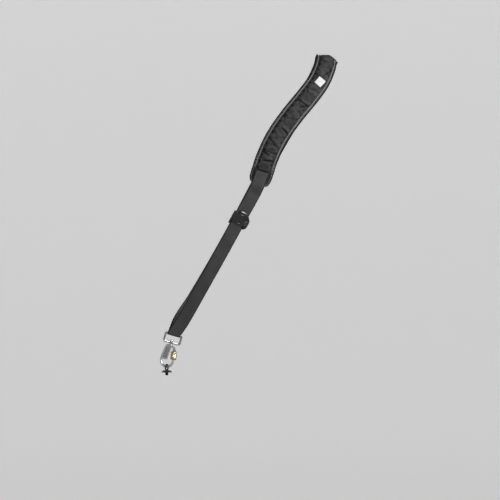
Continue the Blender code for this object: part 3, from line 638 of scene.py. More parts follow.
# Dyed nylon pack cloth, plain woven: dull, a little lighter where its nap catches the light.
# Its real threads are 0.4 mm; they're drawn at 1.1 mm so that they show.
# Where folds is set, the cloth takes painted shade in its deep puckers.
def pack_cloth(name, low, high, gloss, folds):
    made, tree = new_material(
        name, low, 0.85, Sheen_Weight=0.02, Sheen_Roughness=0.45, Specular_IOR_Level=gloss
    )
    colour = mottled(tree, 95.0, low, high, 6.0)
    if folds:
        # Painted shade: the cloth's colour is darkened in deep puckers, where shade falls; the Fold
        # attribute is 1 at the bottom of one
        fold = add(tree, "Attribute", output="Fac", attribute_name="Fold")
        dark = (0.04, 0.04, 0.04, 1)
        colour = add(tree, "Mix", {0: fold, 6: colour, 7: dark}, 2, **MULTIPLY_COLOURS)
    return coat(made, weave(tree, 1.1 * MM), 0.55, 0.25 * MM, Base_Color=colour)


# Nylon webbing woven in chevrons, rows of slanted ribs that mirror their neighbours. Its colour
# follows the ribs' height: painted shade in the grooves and a painted sheen on the ribs. Real ribs
# are 1.3 mm apart; they're drawn at 1.9 mm so that they show.
def webbing_cloth():
    made, tree = new_material(
        "nylon_webbing_cloth", "#373737", 0.66, Sheen_Weight=0.04, Specular_IOR_Level=0.08
    )
    row, rib = 3.6 * MM, 1.9 * MM
    across, along = cloth_ways(tree)
    zigzag = add(tree, "Math", [across, row], operation="PINGPONG")
    slant = add(tree, "Math", [along, zigzag], operation="ADD")
    ribs = add(tree, "Math", [wave(tree, slant, rib), 0.3, 0.5], operation="MULTIPLY_ADD")
    groove = add(tree, "Math", [wave(tree, across, 2 * row)], operation="ABSOLUTE")
    groove = add(tree, "Math", [groove, 0.4], operation="POWER")
    height = add(tree, "Math", [ribs, groove], operation="MULTIPLY")
    # Painted shade and sheen: darker down in the grooves, lighter up on the ribs.
    colour = add(tree, "ValToRGB", [height], stops=[(0.0, "#343434"), (0.9, "#4a4a4a")])
    cloud = mottled(tree, 40.0, "#cfcfcf", "#ffffff", 5.0)
    colour = add(tree, "Mix", {0: 0.7, 6: colour, 7: cloud}, 2, **MULTIPLY_COLOURS)
    # Darker towards both edges: a denser woven selvedge, and painted shade where the edges turn
    # from the light.
    off = add(tree, "Math", [across], operation="ABSOLUTE")
    selvedge_and_edge_shade = add(tree, "MapRange", [off, 10.5 * MM, 11.6 * MM, 1.0, 0.35])
    colour = add(tree, "Mix", {0: 1.0, 6: colour, 7: selvedge_and_edge_shade}, 2, **MULTIPLY_COLOURS)
    return coat(made, height, 0.7, 0.3 * MM, Base_Color=colour)


# Knitted spacer mesh on the side that lies on the body: open cells in a springy black knit, with
# painted shade in each cell's hollow.
def spacer_mesh():
    made, tree = new_material(
        "spacer_mesh", "#1d1d1f", 0.9, Sheen_Weight=0.06, Specular_IOR_Level=0.15
    )
    uv = add(tree, "UVMap", uv_map="Cloth")
    cells = {"Vector": uv, "Scale": 1 / (3.2 * MM), "Randomness": 0.18}
    cells = add(tree, "TexVoronoi", cells, "Distance")
    # Painted shade: darker towards the middle of each open cell.
    colour = add(tree, "ValToRGB", [cells], stops=[(0.2, "#0a0a0b"), (0.42, "#2b2b2e")])
    return coat(made, cells, 0.8, 0.5 * MM, Base_Color=colour)


# Grosgrain binding tape: fine cross ribs, 1.2 mm apart, on a nearly black dye.
def binding_tape():
    made, tree = new_material(
        "grosgrain_tape",
        "#0e0e0e",
        0.75,
        Sheen_Weight=0.02,
        Sheen_Roughness=0.35,
        Specular_IOR_Level=0.03,
    )
    ribs = wave(tree, cloth_ways(tree)[1], 1.2 * MM)
    return coat(made, ribs, 0.5, 0.2 * MM, Base_Color=mottled(tree, 160.0, "#121212", "#1d1d1d"))


# Twisted polyester cord: pale grey yarn laid in a slant every 2 mm, with painted shade between its
# turns.
def piping_yarn():
    made, tree = new_material(
        "twisted_cord", "#8e8e92", 0.75, Sheen_Weight=0.1, Specular_IOR_Level=0.2
    )
    yarn = wave(tree, add(tree, "Math", cloth_ways(tree), operation="ADD"), 2.0 * MM)
    share = add(tree, "Math", [yarn, 0.5, 0.5], operation="MULTIPLY_ADD")
    # Painted shade: the colour follows the twist's height, darker between the turns.
    colour = add(tree, "ValToRGB", [share], stops=[(0.0, "#4a4a4e"), (1.0, "#7c7c80")])
    return coat(made, yarn, 0.6, 0.25 * MM, Base_Color=colour)


# Satin-woven polyester patch, white and bare, with a fine rib across it.
def patch_satin():
    made, tree = new_material(
        "patch_satin", "#bababa", 0.6, Sheen_Weight=0.05, Specular_IOR_Level=0.3
    )
    colour = mottled(tree, 220.0, "#a8a8a6", "#b8b8b6")
    return coat(made, weave(tree, 0.8 * MM), 0.25, 0.12 * MM, Base_Color=colour)


# Bonded nylon sewing thread, with the slight shine of its coating.
def sewing_thread(name, colour):
    made, tree = new_material(name, colour, 0.5, Sheen_Weight=0.2)
    return coat(made, speckle(tree, 2600.0, 2.0), 0.3, 0.1 * MM)


# Glass-filled nylon, injection moulded with a fine spark-eroded grain that dulls its gloss.
def moulded_nylon():
    made, tree = new_material("moulded_nylon", "#0e0e0e", 0.2, Specular_IOR_Level=0.42, IOR=1.53)
    grain = speckle(tree, 1500.0, 3.0, Roughness=0.6)
    scuffs = add(tree, "MapRange", [speckle(tree, 260.0, 5.0), 0.3, 0.7, 0.13, 0.26])
    colour = mottled(tree, 180.0, "#080808", "#111111")
    return coat(made, grain, 0.12, 0.08 * MM, Base_Color=colour, Roughness=scuffs)


def plated(name, low, high, rough_low, rough_high, grain=0.0, metallic=1.0):
    """A metal with hairline handling marks, and a brushed grain where grain is given."""
    made, tree = new_material(name, high, rough_low, metallic)
    marks = speckle(tree, 1.0, 4.0, stretch=(900.0, 900.0, 140.0))
    rough = add(tree, "MapRange", [marks, 0.35, 0.7, rough_low, rough_high])
    colour = mottled(tree, 210.0, low, high)
    return coat(made, marks, grain, 0.05 * MM, Base_Color=colour, Roughness=rough)


# Moulded rubber: matte, with the faint bloom that rubs off at its edges.
def washer_rubber():
    made, tree = new_material("moulded_rubber", "#151515", 0.68, Specular_IOR_Level=0.35)
    colour = mottled(tree, 300.0, "#121212", "#1f1f1f")
    return coat(made, speckle(tree, 1800.0, 2.0), 0.2, 0.08 * MM, Base_Color=colour)


PANEL_CLOTH = pack_cloth("nylon_pack_cloth", "#262626", "#3b3b3b", 0.06, folds=True)
BORDER_CLOTH = pack_cloth("stretch_border_cloth", "#1f1f1f", "#2d2d2d", 0.04, folds=False)
WEBBING_CLOTH = webbing_cloth()
SPACER_MESH = spacer_mesh()
TAPE = binding_tape()
CORD = piping_yarn()
PATCH = patch_satin()
BLACK_THREAD = sewing_thread("black_bonded_thread", "#1a1a1b")
GREY_THREAD = sewing_thread("grey_bonded_thread", "#77777b")
WHITE_THREAD = sewing_thread("white_bonded_thread", "#d8d8d6")
NYLON = moulded_nylon()
# Nickel-chrome plate over zinc: cold, and mirror smooth but for handling marks. Its grey is set
# darker than bare plate's, to come near the photo's dark wire.
CHROME = plated("nickel_chrome_plate", "#8a8a8c", "#a6a6a8", 0.06, 0.15)
# Stainless steel, tumbled to a satin: grey, with a grain that spreads its highlights.
SATIN_STEEL = plated("satin_stainless", "#b6b6b8", "#cacacc", 0.24, 0.38, grain=0.25)
# Machined brass, polished, lightly lacquered and dulled by handling.
BRASS = plated("machined_brass", "#9c9076", "#bfb495", 0.16, 0.3)
# Steel with a black oxide finish, oiled. On the hook it is also painted shade in the grip's
# grooves.
BLACK_STEEL_AND_GROOVE_SHADE = plated("black_oxide_steel_and_groove_shade", "#1c1c1e", "#2c2c2f", 0.3, 0.45, metallic=0.6)
RUBBER = washer_rubber()
# Black card: matt, so that it gives the metal beside it a dark edge and nothing else.
CARD = new_material("black_card", "#050505", 1.0, Specular_IOR_Level=0.0)[0]
# Matt studio paint: nearly white, and lit a little from within so that it hides its corners.
PAINT = new_material(
    "matt_studio_paint",
    "#f4f4f4",
    0.95,
    Emission_Color=linear("#ffffff"),
    Emission_Strength=0.3,
)[0]


# Soft pieces


def make_pad():
    """The foam pad in its cover: crowned on top, drawn in at its rim, flat on the body."""
    top_share = 0.6
    girth = 2.2 * PAD_WIDTH

    def shape(u, v):
        length = -PAD_BACK + v * PAD_LENGTH
        half = pad_half_width(length)
        if u <= top_share:
            share = -math.cos(math.pi * u / top_share)
            height = pad_top(length, share * half)
            lumps = fine_noise(share * half, length, 9 * MM) * 0.28 * MM
            lumps += fine_noise(share * half, length, 3.5 * MM, 4.0) * 0.12 * MM
        else:
            share = math.cos(math.pi * (u - top_share) / (1 - top_share))
            drawn_in = 1 - math.sqrt(max(1 - abs(share) ** 7, 0.0))
            height = pad_thickness(length) / 2 * drawn_in
            lumps = 0.25 * MM * (0.5 + fine_noise(share * half, length, 12 * MM, 9.0))
        return Vector((share * half, length, height + lumps * (1 - share**8)))

    def pattern(u, v):
        return (u * girth, v * PAD_LENGTH)

    rows = len(spaced(-PAD_BACK, PAD_FRONT, 1.6 * MM))
    bm = blank(56, rows, shape, pattern)
    pad = finish_soft(bm, "pad_cover", BORDER_CLOTH, 60, "shoulder_pad")
    pad.data.materials.append(SPACER_MESH)
    uv = pad.data.uv_layers["Cloth"].data
    for polygon in pad.data.polygons:
        middle = sum(uv[i].uv[0] for i in polygon.loop_indices) / polygon.loop_total
        polygon.material_index = int(top_share + 0.02 < middle / girth < 0.985)


def simulate_puckers():
    """Heights of the puckered cloth over its mean, as a grid over the panel: along by across.

    The cloth is longer than its seams, so it puckers. It's simulated lying flat and at 20 times
    its size, where Blender's cloth is steady; its wrinkles are then laid on the pad.
    """
    rows = round(PANEL_LENGTH / PUCKER_CELL)
    columns = round(PANEL_WIDTH / PUCKER_CELL)
    bm = bmesh.new()
    bmesh.ops.create_grid(bm, x_segments=columns, y_segments=rows, size=0.5)
    sewn = []
    for vert in bm.verts:
        share, length = vert.co.x * 2, (vert.co.y + 0.5) * PANEL_LENGTH
        across = share * PANEL_WIDTH / 2
        height = 1.6 * MM * (1 - share**4) + 0.15 * MM * fine_noise(across, length, 4 * MM)
        if abs(share) > 0.93 or min(length, PANEL_LENGTH - length) < 1.5 * MM:
            sewn.append(vert.index)
        vert.co = Vector((across, length, height)) * PUCKER_SCALE
    flat = as_object(bm, "cut_cloth")
    before = np.array([tuple(vert.co) for vert in flat.data.vertices])
    flat.vertex_groups.new(name="sewn").add(sewn, 1.0, "REPLACE")
    cloth = flat.modifiers.new("Cloth", "CLOTH").settings
    cloth.vertex_group_mass = "sewn"
    cloth.quality = 6
    cloth.mass = 0.3
    cloth.tension_stiffness = cloth.compression_stiffness = 20
    cloth.shear_stiffness = 8
    cloth.bending_stiffness = 3.0
    cloth.shrink_min = -0.06
    cloth.use_pressure = True
    cloth.uniform_pressure_force = 0.5
    cloth.effector_weights.gravity = 0
    for step in range(1, 26):
        bpy.context.scene.frame_set(step)
    bm = as_bmesh(flat)
    after = np.array([tuple(vert.co) for vert in bm.verts])
    bm.free()
    bpy.context.scene.frame_set(1)
    order = np.lexsort((before[:, 0], before[:, 1]))
    risen = (after - before)[order, 2].reshape(rows + 1, columns + 1) / PUCKER_SCALE
    return risen - risen.mean(axis=0)


PUCKERS = simulate_puckers()


def pucker(length, share):
    """Height of a wrinkle on the panel, read from the simulated cloth."""
    rows, columns = PUCKERS.shape
    along = (length + PANEL_BACK) / PANEL_LENGTH * (rows - 1)
    across = (share + 1) / 2 * (columns - 1)
    i = clamp(int(along), 0, rows - 2)
    k = clamp(int(across), 0, columns - 2)
    a, b = clamp(along - i), clamp(across - k)
    near = PUCKERS[i, k] * (1 - b) + PUCKERS[i, k + 1] * b
    far = PUCKERS[i + 1, k] * (1 - b) + PUCKERS[i + 1, k + 1] * b
    return float(near * (1 - a) + far * a)


def pinch(length, share):
    """Where the seam draws the panel down, once in each gather, from 0 to 1."""
    side = 1.0 if share > 0 else -1.0
    down = -gathers(length, side) / GATHER_DEPTH
    return math.exp(-(1 - down) / 0.2) * bell(abs(share) - 0.82, 0.15) * (0.75 - 0.25 * side)


def panel_relief(length, share):
    """Wrinkles over the main gathers, capped so that the cloth stays on the pad."""
    calm = 0.45 + 0.55 * smoothstep(0.5 + 1.6 * fine_noise(length, 0.0, 34 * MM, 8.0))
    wrinkle = clamp(0.7 * calm * pucker(length, share), -1.4 * MM, 1.1 * MM)
    sharp = creases(length, share, SHARP_FOLD) * 0.6
    sharp += creases(length, share, DEEP_FOLD, DEEP_FOLDS) * 1.3
    stitched = -0.8 * MM * bell(abs(share) - PANEL_SEAM, 0.035)
    drawn = -1.4 * MM * pinch(length, share)
    return (wrinkle + sharp + drawn) * smoothstep(to_panel_end(length) / (6 * MM)) + stitched


def fold_depth(length, share):
    """How deep in a fold a spot of the panel lies, from 0 to 1: the panel's painted shade follows
    it.
    """
    here = pucker(length, share)
    around = (pucker(length - 2 * MM, share) + pucker(length + 2 * MM, share)) / 2
    dip = max((around - here) / (1.8 * MM), 0.0) + max(-here / (8.0 * MM), 0.0)
    dip += 0.5 * max(-creases(length, share, 1.4 * MM) / (0.6 * FOLD_DEPTH), 0.0)
    dip += 2.0 * max(-creases(length, share, DEEP_FOLD, DEEP_FOLDS) / FOLD_DEPTH, 0.0)
    dip += 1.8 * pinch(length, share)
    return min(max(dip, bell(abs(share) - PANEL_SEAM, 0.05) * 0.6), 1.0)


def make_panel():
    """The gathered cover panel: puckered between its seams, creased across, turned under."""
    top_share = 0.84

    def shape(u, v):
        length = -PANEL_BACK + v * PANEL_LENGTH
        half = panel_half_width(length)
        if u <= top_share:
            share = -math.cos(math.pi * u / top_share)
            share = clamp(share * (1 + 0.12 * (1 - share**2)), -1.0)
            low = pad_top(length, share * half) + 0.12 * MM
            full = panel_height(length, share) + panel_relief(length, share)
            edge = 1 - smoothstep((abs(share) - 0.6) / 0.4) * 0.8
            height = max(low + (full - low) * edge, low + 0.35 * MM * edge)
            side = 1.0 if share > 0 else -1.0
            scallop = 0.35 * MM * gathers(length, side) / GATHER_DEPTH
            x = share * half + side * scallop * abs(share) ** 4
        else:
            share = math.cos(math.pi * (u - top_share) / (1 - top_share))
            height = pad_top(length, share * half) + 0.08 * MM
            x = share * half * 0.985
        return Vector((x, length, height))

    def pattern(u, v):
        return (u * 2.4 * PANEL_WIDTH, v * PANEL_LENGTH * 1.05)

    bm = blank(76, round(PANEL_LENGTH / (0.9 * MM)), shape, pattern)
    # Painted shade: each point's fold depth is kept in an attribute that darkens the panel cloth's
    # colour.
    folds = []
    for vert in bm.verts:
        share = vert.co.x / panel_half_width(vert.co.y)
        folds.append(fold_depth(vert.co.y, clamp(share, -1.0)))
    panel = finish_soft(bm, "puckered_panel", PANEL_CLOTH, 70, "gathered_panel")
    panel.data.attributes.new("Fold", "FLOAT", "POINT").data.foreach_set("value", folds)


def rim(step):
    """The pad's rim as (length, across), once round: the two sides and the two round ends."""
    ends = [0.0, 0.02, 0.06, 0.13, 0.24, 0.4, 0.6, 0.8]
    lengths = [-PAD_BACK + share * PAD_END_ROUND for share in ends]
    lengths += spaced(-PAD_BACK + PAD_END_ROUND, PAD_FRONT - PAD_END_ROUND, step)
    lengths += [PAD_FRONT - share * PAD_END_ROUND for share in reversed(ends)]
    right = [(length, pad_half_width(length)) for length in lengths]
    left = [(length, -across) for length, across in reversed(right)]
    shares = (0.7, 0.4, 0.13, -0.13, -0.4, -0.7)
    front = [(PAD_FRONT, PAD_END_FLAT / 2 * share) for share in shares]
    back = [(-PAD_BACK, -PAD_END_FLAT / 2 * share) for share in shares]
    return right + front + left + back


def squared_off(angle, power_across, power_up):
    """A point of a circle, pushed out towards the square round it: (across, up)."""
    across, up = math.cos(angle), math.sin(angle)
    across = math.copysign(abs(across) ** power_across, across)
    return across, math.copysign(abs(up) ** power_up, up)


def make_binding():
    """Binding tape folded round the pad's rim, standing a little proud of both faces."""
    outline = rim(3 * MM)
    count = len(outline)
    outs = []
    for i in range(count):
        before, after = outline[i - 1], outline[(i + 1) % count]
        along = Vector((after[0] - before[0], after[1] - before[1])).normalized()
        outs.append(Vector((-along.y, along.x)))
    walked = [0.0]
    for first, second in zip(outline, outline[1:] + outline[:1]):
        walked.append(walked[-1] + math.hypot(second[0] - first[0], second[1] - first[1]))

    def shape(u, v):
        i = round(v * count) % count
        length, across = outline[i]
        thick = pad_thickness(length)
        wide = BINDING_THICK / 2 * (1 + 0.03 * math.sin(walked[i] / (2.1 * MM)))
        x, y = squared_off(2 * math.pi * u, 0.72, 0.72)
        spot = Vector((length, across)) + outs[i] * (GAP * 0.3 + wide * (1 + x))
        flare = SHOULDER_FLARE * over_shoulder(length) if across < 0 else 0.0
        height = thick * 0.44 + flare + y * (thick * 0.27 + BINDING_OVER + flare * 0.9)
        height += 0.12 * MM * fine_noise(walked[i], 0.0, 9 * MM) * max(y, 0.0)
        return Vector((spot.y, spot.x, height))

    def pattern(u, v):
        return (u * BINDING_GIRTH, walked[round(v * count)])

    bm = blank(14, count, shape, pattern, loop=True)
    finish_soft(bm, "rim_tape", TAPE, 60, "edge_binding")


def make_piping(name, side, cover):
    """A cord sewn down beside the panel."""
    radius = PIPING_THICK / 2
    rows = spaced(-PANEL_BACK, PANEL_FRONT, 2 * MM)
    span = rows[-1] - rows[0]

    def shape(u, v):
        length = rows[0] + v * span
        across = side * (PANEL_WIDTH / 2 + GAP + radius)
        across += 0.15 * MM * fine_noise(length, side, 14 * MM)
        height = pad_top(length, across) + radius * 0.8
        close = min(smoothstep(v * 40 + 0.05), smoothstep((1 - v) * 40 + 0.05))
        angle = 2 * math.pi * u
        reach = radius * (0.25 + 0.75 * close)
        return Vector((across + reach * math.cos(angle), length, height + reach * math.sin(angle)))

    def pattern(u, v):
        return (u * 4 * MM, v * span)

    bm = blank(10, len(rows) * 2, shape, pattern)
    finish_soft(bm, name, CORD, 70, cover)


def on_patch(x, y):
    """Where a point of the patch lies on the strap: the patch is sewn on a little askew."""
    c, s = math.cos(PATCH_TURN), math.sin(PATCH_TURN)
    return PATCH_ASIDE + x * c - y * s, PATCH_AT + x * s + y * c


def make_patch():
    """A bare woven patch with its edges turned under, lying on the panel; returns its level."""
    half = PATCH_SIDE / 2
    level = max(
        panel_height(PATCH_AT + a, (PATCH_ASIDE + b) / panel_half_width(PATCH_AT))
        for a in spaced(-half, half, 2 * MM)
        for b in spaced(-half, half, 2 * MM)
    )

    def bend(point):
        pillow = 1 - (max(abs(point.x), abs(point.y)) / half) ** 6
        lift = 0.12 * MM * fine_noise(point.x, point.y, 5 * MM)
        height = level + 0.1 * MM + (point.z * (0.35 + 0.65 * pillow) + lift * pillow)
        return Vector((*on_patch(point.x, point.y), height))

    bm = bmesh.new()
    uv = bm.loops.layers.uv.new("Cloth")
    bmesh.ops.create_grid(bm, x_segments=24, y_segments=24, size=half)
    corners = [v for v in bm.verts if len(v.link_edges) == 2]
    extrude(bm, bm.faces[:], PATCH_THICK)
    for vert in corners:
        vert.co.x *= 0.985
        vert.co.y *= 0.985
    for face in bm.faces:
        for corner in face.loops:
            corner[uv].uv = (corner.vert.co.x, corner.vert.co.y)
    for vert in bm.verts:
        vert.co = bend(vert.co)
    finish_soft(bm, "bare_patch", PATCH, 50, "label_patch")
    return level


def webbing_lift(length):
    """Height of the webbing's inner face: on the pad at its ends, on the body elsewhere."""
    past_front = length - PAD_FRONT
    past_back = ROUTE.total - PAD_BACK - length
    seat = PAD_END_THICK + PAD_CROWN + BINDING_OVER + GAP
    if past_front < BINDING_THICK:
        return seat + pad_thickness(length) - PAD_END_THICK
    if past_back < BINDING_THICK:
        return seat + pad_thickness(length - ROUTE.total) - PAD_END_THICK
    nearest = min(past_front, past_back) - BINDING_THICK
    return seat * (1 - smoothstep((nearest - GAP) / TONGUE_LENGTH))


def make_webbing():
    """One band of webbing, sewn on the pad at both ends and turned round the ring's bar."""
    near = 9 * MM
    before_fold, after_fold = ROUTE.fold_at - near, ROUTE.fold_at + near
    lengths = spaced(PAD_FRONT - TONGUE_LENGTH, before_fold, 2.5 * MM)[:-1]
    lengths += spaced(before_fold, after_fold, 0.6 * MM)[:-1]
    lengths += spaced(after_fold, ROUTE.total - PAD_BACK + TONGUE_LENGTH, 2.5 * MM)
    half = WEB_WIDTH / 2
    steps = len(lengths) - 1
    columns = 28
    # A woven band in section: flat faces with soft thick edges
    section = [squared_off(2 * math.pi * k / columns, 0.35, 0.5) for k in range(columns + 1)]

    def shape(u, v):
        length = lengths[round(v * steps)]
        x, y = section[round(u * columns)]
        x = -x
        free = smoothstep((abs(length - ROUTE.fold_at) - 30 * MM) / (60 * MM))
        by_pad = min(abs(length - PAD_FRONT), abs(length - ROUTE.total + PAD_BACK))
        free *= smoothstep((by_pad - 20 * MM) / (50 * MM))
        free *= smoothstep((abs(length - LOCK_AT) - 16 * MM) / (20 * MM))
        wave_height = 0.55 * MM * fine_noise(x * 12 * MM, length, 45 * MM, 6.0) * free
        cup = 0.35 * MM * (x * x - 0.4) * free * math.sin(length / (90 * MM))
        middle = webbing_lift(length) + WEB_THICK / 2 + max(wave_height + cup, 0.0)
        edge = 0.08 * MM * fine_noise(length, x, 6 * MM)
        return Vector((x * (half + edge), length, middle + y * WEB_THICK / 2))

    def pattern(u, v):
        return (-section[round(u * columns)][0] * half, lengths[round(v * steps)])

    bm = blank(columns, steps, shape, pattern)
    finish_soft(bm, "woven_webbing", WEBBING_CLOTH, 70, "webbing")


def make_stitches(name, thread, width, lines):
    """Sews lines of stitches, small rounded bars. Each line has its points, as (across, length),
    the stitches' pitch and a function for the height under them."""
    bm = bmesh.new()
    stitches = [(*pair, *line[1:]) for line in lines for pair in zip(line[0], line[0][1:])]
    for (x0, y0), (x1, y1), pitch, height_of in stitches:
        run = math.hypot(x1 - x0, y1 - y0)
        count = max(1, round(run / pitch))
        turn = Matrix.Rotation(math.atan2(x0 - x1, y1 - y0), 4, "Z")
        size = Matrix.Diagonal((width / 2, run / count * 0.4, width * 0.45, 1.0))
        for i in range(count):
            t = (i + 0.5) / count
            x, y = x0 + (x1 - x0) * t, y0 + (y1 - y0) * t
            spot = Matrix.Translation((x, y, height_of(x, y) + width * 0.15))
            matrix = spot @ turn @ size @ STANDING
            bmesh.ops.create_uvsphere(bm, u_segments=6, v_segments=4, radius=1.0, matrix=matrix)
    finish_soft(bm, name, thread, 80)


def make_stitching(patch_level):
    """The sewing: panel seams, the rim's row, the boxes that hold the webbing, the patch."""

    def on_panel(x, y):
        return panel_height(y, clamp(x / panel_half_width(y), -1.0)) - 0.75 * MM

    rows = spaced(-PANEL_BACK + 4 * MM, PANEL_FRONT - 4 * MM, 9 * MM)
    lines = []
    for side in (-1, 1):
        seam = [(side * PANEL_SEAM * panel_half_width(y), y) for y in rows]
        lines.append((seam, 3.0 * MM, on_panel))
    for y in (PANEL_FRONT - 2.2 * MM, -PANEL_BACK + 2.2 * MM):
        seam = [(x, y) for x in spaced(-11 * MM, 11 * MM, 22 * MM)]
        lines.append((seam, 2.8 * MM, lambda x, y: pad_top(y, x) + 1.1 * MM))
    make_stitches("panel_stitching", BLACK_THREAD, 0.6 * MM, lines)

    border = []
    for y, x in rim(9 * MM):
        if abs(x) < PAD_END_FLAT / 2 + 1e-6:
            y += 0.9 * MM if y < 0 else -0.9 * MM
        border.append((x * 0.955, y))
    lines = [(border + border[:1], 2.6 * MM, lambda x, y: pad_top(y, x) + 0.05 * MM)]
    make_stitches("border_stitching", GREY_THREAD, 0.55 * MM, lines)

    wide = WEB_WIDTH / 2 - 3 * MM
    back = ROUTE.total - PAD_BACK
    lines = []
    for near, far in (
        (PAD_FRONT - TONGUE_LENGTH + 2.5 * MM, PAD_FRONT - 2 * MM),
        (back + 2 * MM, back + TONGUE_LENGTH - 2.5 * MM),
    ):
        square = box(-wide, near, wide, far)
        for line in (square + [square[0], square[2]], [square[3], square[1]]):
            lines.append((line, 2.6 * MM, lambda x, y: webbing_lift(y) + WEB_THICK))
    make_stitches("webbing_stitching", BLACK_THREAD, 0.6 * MM, lines)

    half = PATCH_SIDE / 2 - 1.3 * MM
    square = [on_patch(x, y) for x, y in box(-half, -half, half, half)]
    top = patch_level + PATCH_THICK + 0.05 * MM
    lines = [(square + square[:1], 1.7 * MM, lambda x, y: top)]
    make_stitches("patch_stitching", WHITE_THREAD, 0.4 * MM, lines)


# Shapes for the hard pieces. Each piece is made in a frame of its own and then set in place.

# Turns an outline drawn in x and y so that it stands in x and z
STANDING = Matrix.Rotation(math.pi / 2, 4, "X")
# Turns a lathed piece so that its axis lies along y
LYING = Matrix.Rotation(-math.pi / 2, 4, "X")


def box(left, low, right, high):
    return [(left, low), (right, low), (right, high), (left, high)]


def arc(centre, radius, start, end, steps):
    """Points of an arc, from one angle to another in degrees."""
    points = []
    for i in range(steps + 1):
        angle = math.radians(start + (end - start) * i / steps)
        points.append((centre[0] + radius * math.cos(angle), centre[1] + radius * math.sin(angle)))
    return points


def between(start, end, share):
    return start[0] + (end[0] - start[0]) * share, start[1] + (end[1] - start[1]) * share


def spaced_points(start, end, step):
    """Points strictly between two others."""
    count = max(2, round(math.hypot(end[0] - start[0], end[1] - start[1]) / step))
    return [between(start, end, i / count) for i in range(1, count)]


def rounded(points, radius, steps=5):
    """An outline with its corners rounded off."""
    result = []
    for i, point in enumerate(points):
        here = Vector(point)
        to_before = Vector(points[i - 1]) - here
        to_after = Vector(points[(i + 1) % len(points)]) - here
        cut = min(radius, 0.45 * to_before.length, 0.45 * to_after.length)
        first = here + to_before.normalized() * cut
        last = here + to_after.normalized() * cut
        for k in range(steps + 1):
            t = k / steps
            spot = first * (1 - t) ** 2 + here * (2 * t * (1 - t)) + last * t**2
            result.append((spot.x, spot.y))
    return result


def turned(radius, angle, height):
    """A point at a radius and an angle round the upright axis."""
    return Vector((radius * math.cos(angle), radius * math.sin(angle), height))


def lathe(profile, steps=72):
    """Spins a profile of (radius, height) points round the upright axis."""
    bm = bmesh.new()
    verts = [bm.verts.new((radius, 0, height)) for radius, height in profile]
    edges = [bm.edges.new(pair) for pair in zip(verts, verts[1:])]
    bmesh.ops.spin(
        bm,
        geom=verts + edges,
        axis=(0, 0, 1),
        cent=(0, 0, 0),
        steps=steps,
        angle=2 * math.pi,
        use_merge=True,
    )
    bmesh.ops.remove_doubles(bm, verts=bm.verts, dist=1e-7)
    bmesh.ops.recalc_face_normals(bm, faces=bm.faces)
    return bm


def slab(outline, low, high):
    """A plate: an outline in x and y, extruded from low to high."""
    bm = bmesh.new()
    verts = [bm.verts.new((x, y, low)) for x, y in outline]
    extrude(bm, bmesh.ops.contextual_create(bm, geom=verts)["faces"], high - low)
    return bm


def tube(path, radius, sides=32, loop=False, level=0.0):
    """A round bar along points in x and y; it tapers where radius is a function of its length."""
    count = len(path) - (0 if loop else 1)

    def shape(u, v):
        i = round(v * count) % len(path)
        before = path[i - 1] if i or loop else path[0]
        after = path[(i + 1) % len(path)] if loop or i < len(path) - 1 else path[-1]
        along = (Vector(after) - Vector(before)).normalized()
        angle = 2 * math.pi * u
        size = radius(v) if callable(radius) else radius
        aside, up = size * math.cos(angle), size * math.sin(angle)
        return Vector((path[i][0] - along.y * aside, path[i][1] + along.x * aside, level + up))

    return blank(sides, count, shape, loop=loop)


def round_bar(start, end, radius, level):
    """A short bar whose ends are half-balls."""
    length = math.hypot(end[0] - start[0], end[1] - start[1])
    shares = [0.0, 0.1, 0.35, 0.7, 1.0]
    stations = [radius * share for share in shares]
    stations += [length - radius * share for share in reversed(shares)]
    path = [between(start, end, station / length) for station in stations]

    def swell(v):
        station = stations[round(v * (len(stations) - 1))]
        share = min(1.0, min(station, length - station) / radius)
        return max(radius * 0.05, radius * math.sqrt(1 - (1 - share) ** 2))

    return tube(path, swell, 12, level=level)


def carve(bm, cutter, operation="DIFFERENCE"):
    """Cuts one solid from another, or keeps what they share."""
    piece = as_object(bm, "blank")
    other = as_object(cutter, "cutter")
    boolean = piece.modifiers.new("Cut", "BOOLEAN")
    boolean.object = other
    boolean.operation = operation
    boolean.solver = "EXACT"
    result = as_bmesh(piece)
    bpy.data.objects.remove(other)
    return result


def drill(bm, radius, low, high, steps=24, at=None):
    """Cuts a round hole from low to high, along the upright axis or that of a frame."""
    cutter = lathe([(0, low), (radius, low), (radius, high), (0, high)], steps)
    return carve(bm, set_in(cutter, at) if at else cutter)


def gather(solids):
    """Puts several solids in one mesh."""
    together = bmesh.new()
    for solid in solids:
        mesh = bpy.data.meshes.new("part")
        solid.to_mesh(mesh)
        solid.free()
        together.from_mesh(mesh)
        bpy.data.meshes.remove(mesh)
    return together


def cast(solids, grain, passes=3):
    """Melts solids into one casting or moulding, with small fillets where they meet."""
    casting = as_object(gather(solids), "casting")
    remesh = casting.modifiers.new("Melt", "REMESH")
    remesh.mode = "VOXEL"
    remesh.voxel_size = grain
    bm = as_bmesh(casting)
    for _ in range(passes):
        bmesh.ops.smooth_vert(
            bm, verts=bm.verts, factor=0.5, use_axis_x=True, use_axis_y=True, use_axis_z=True
        )
    return bm


def pin(radius, half, dome):
    """A plain pin with softly domed ends."""
    end = [(0, half), (radius * 0.5, half - dome * 0.25), (radius * 0.87, half - dome)]
    end.append((radius, half - dome * 1.8))
    return lathe([(r, -h) for r, h in end] + end[::-1], 32)


def axes_at(point, *axes):
    """The frame with its origin at a point and its x, y and z along three directions."""
    return Matrix.Translation(point) @ Matrix(axes).transposed().to_4x4()


# Slide lock: x runs across the strap, y up it, z outward
lock_point, lock_along, lock_across, lock_outward = ROUTE.frame(LOCK_AT)
LOCK_FRAME = axes_at(lock_point, lock_across, -lock_along, lock_outward)
BARREL_AT = Matrix.Translation((BARREL_SIDE, 0, BARREL_LEVEL))


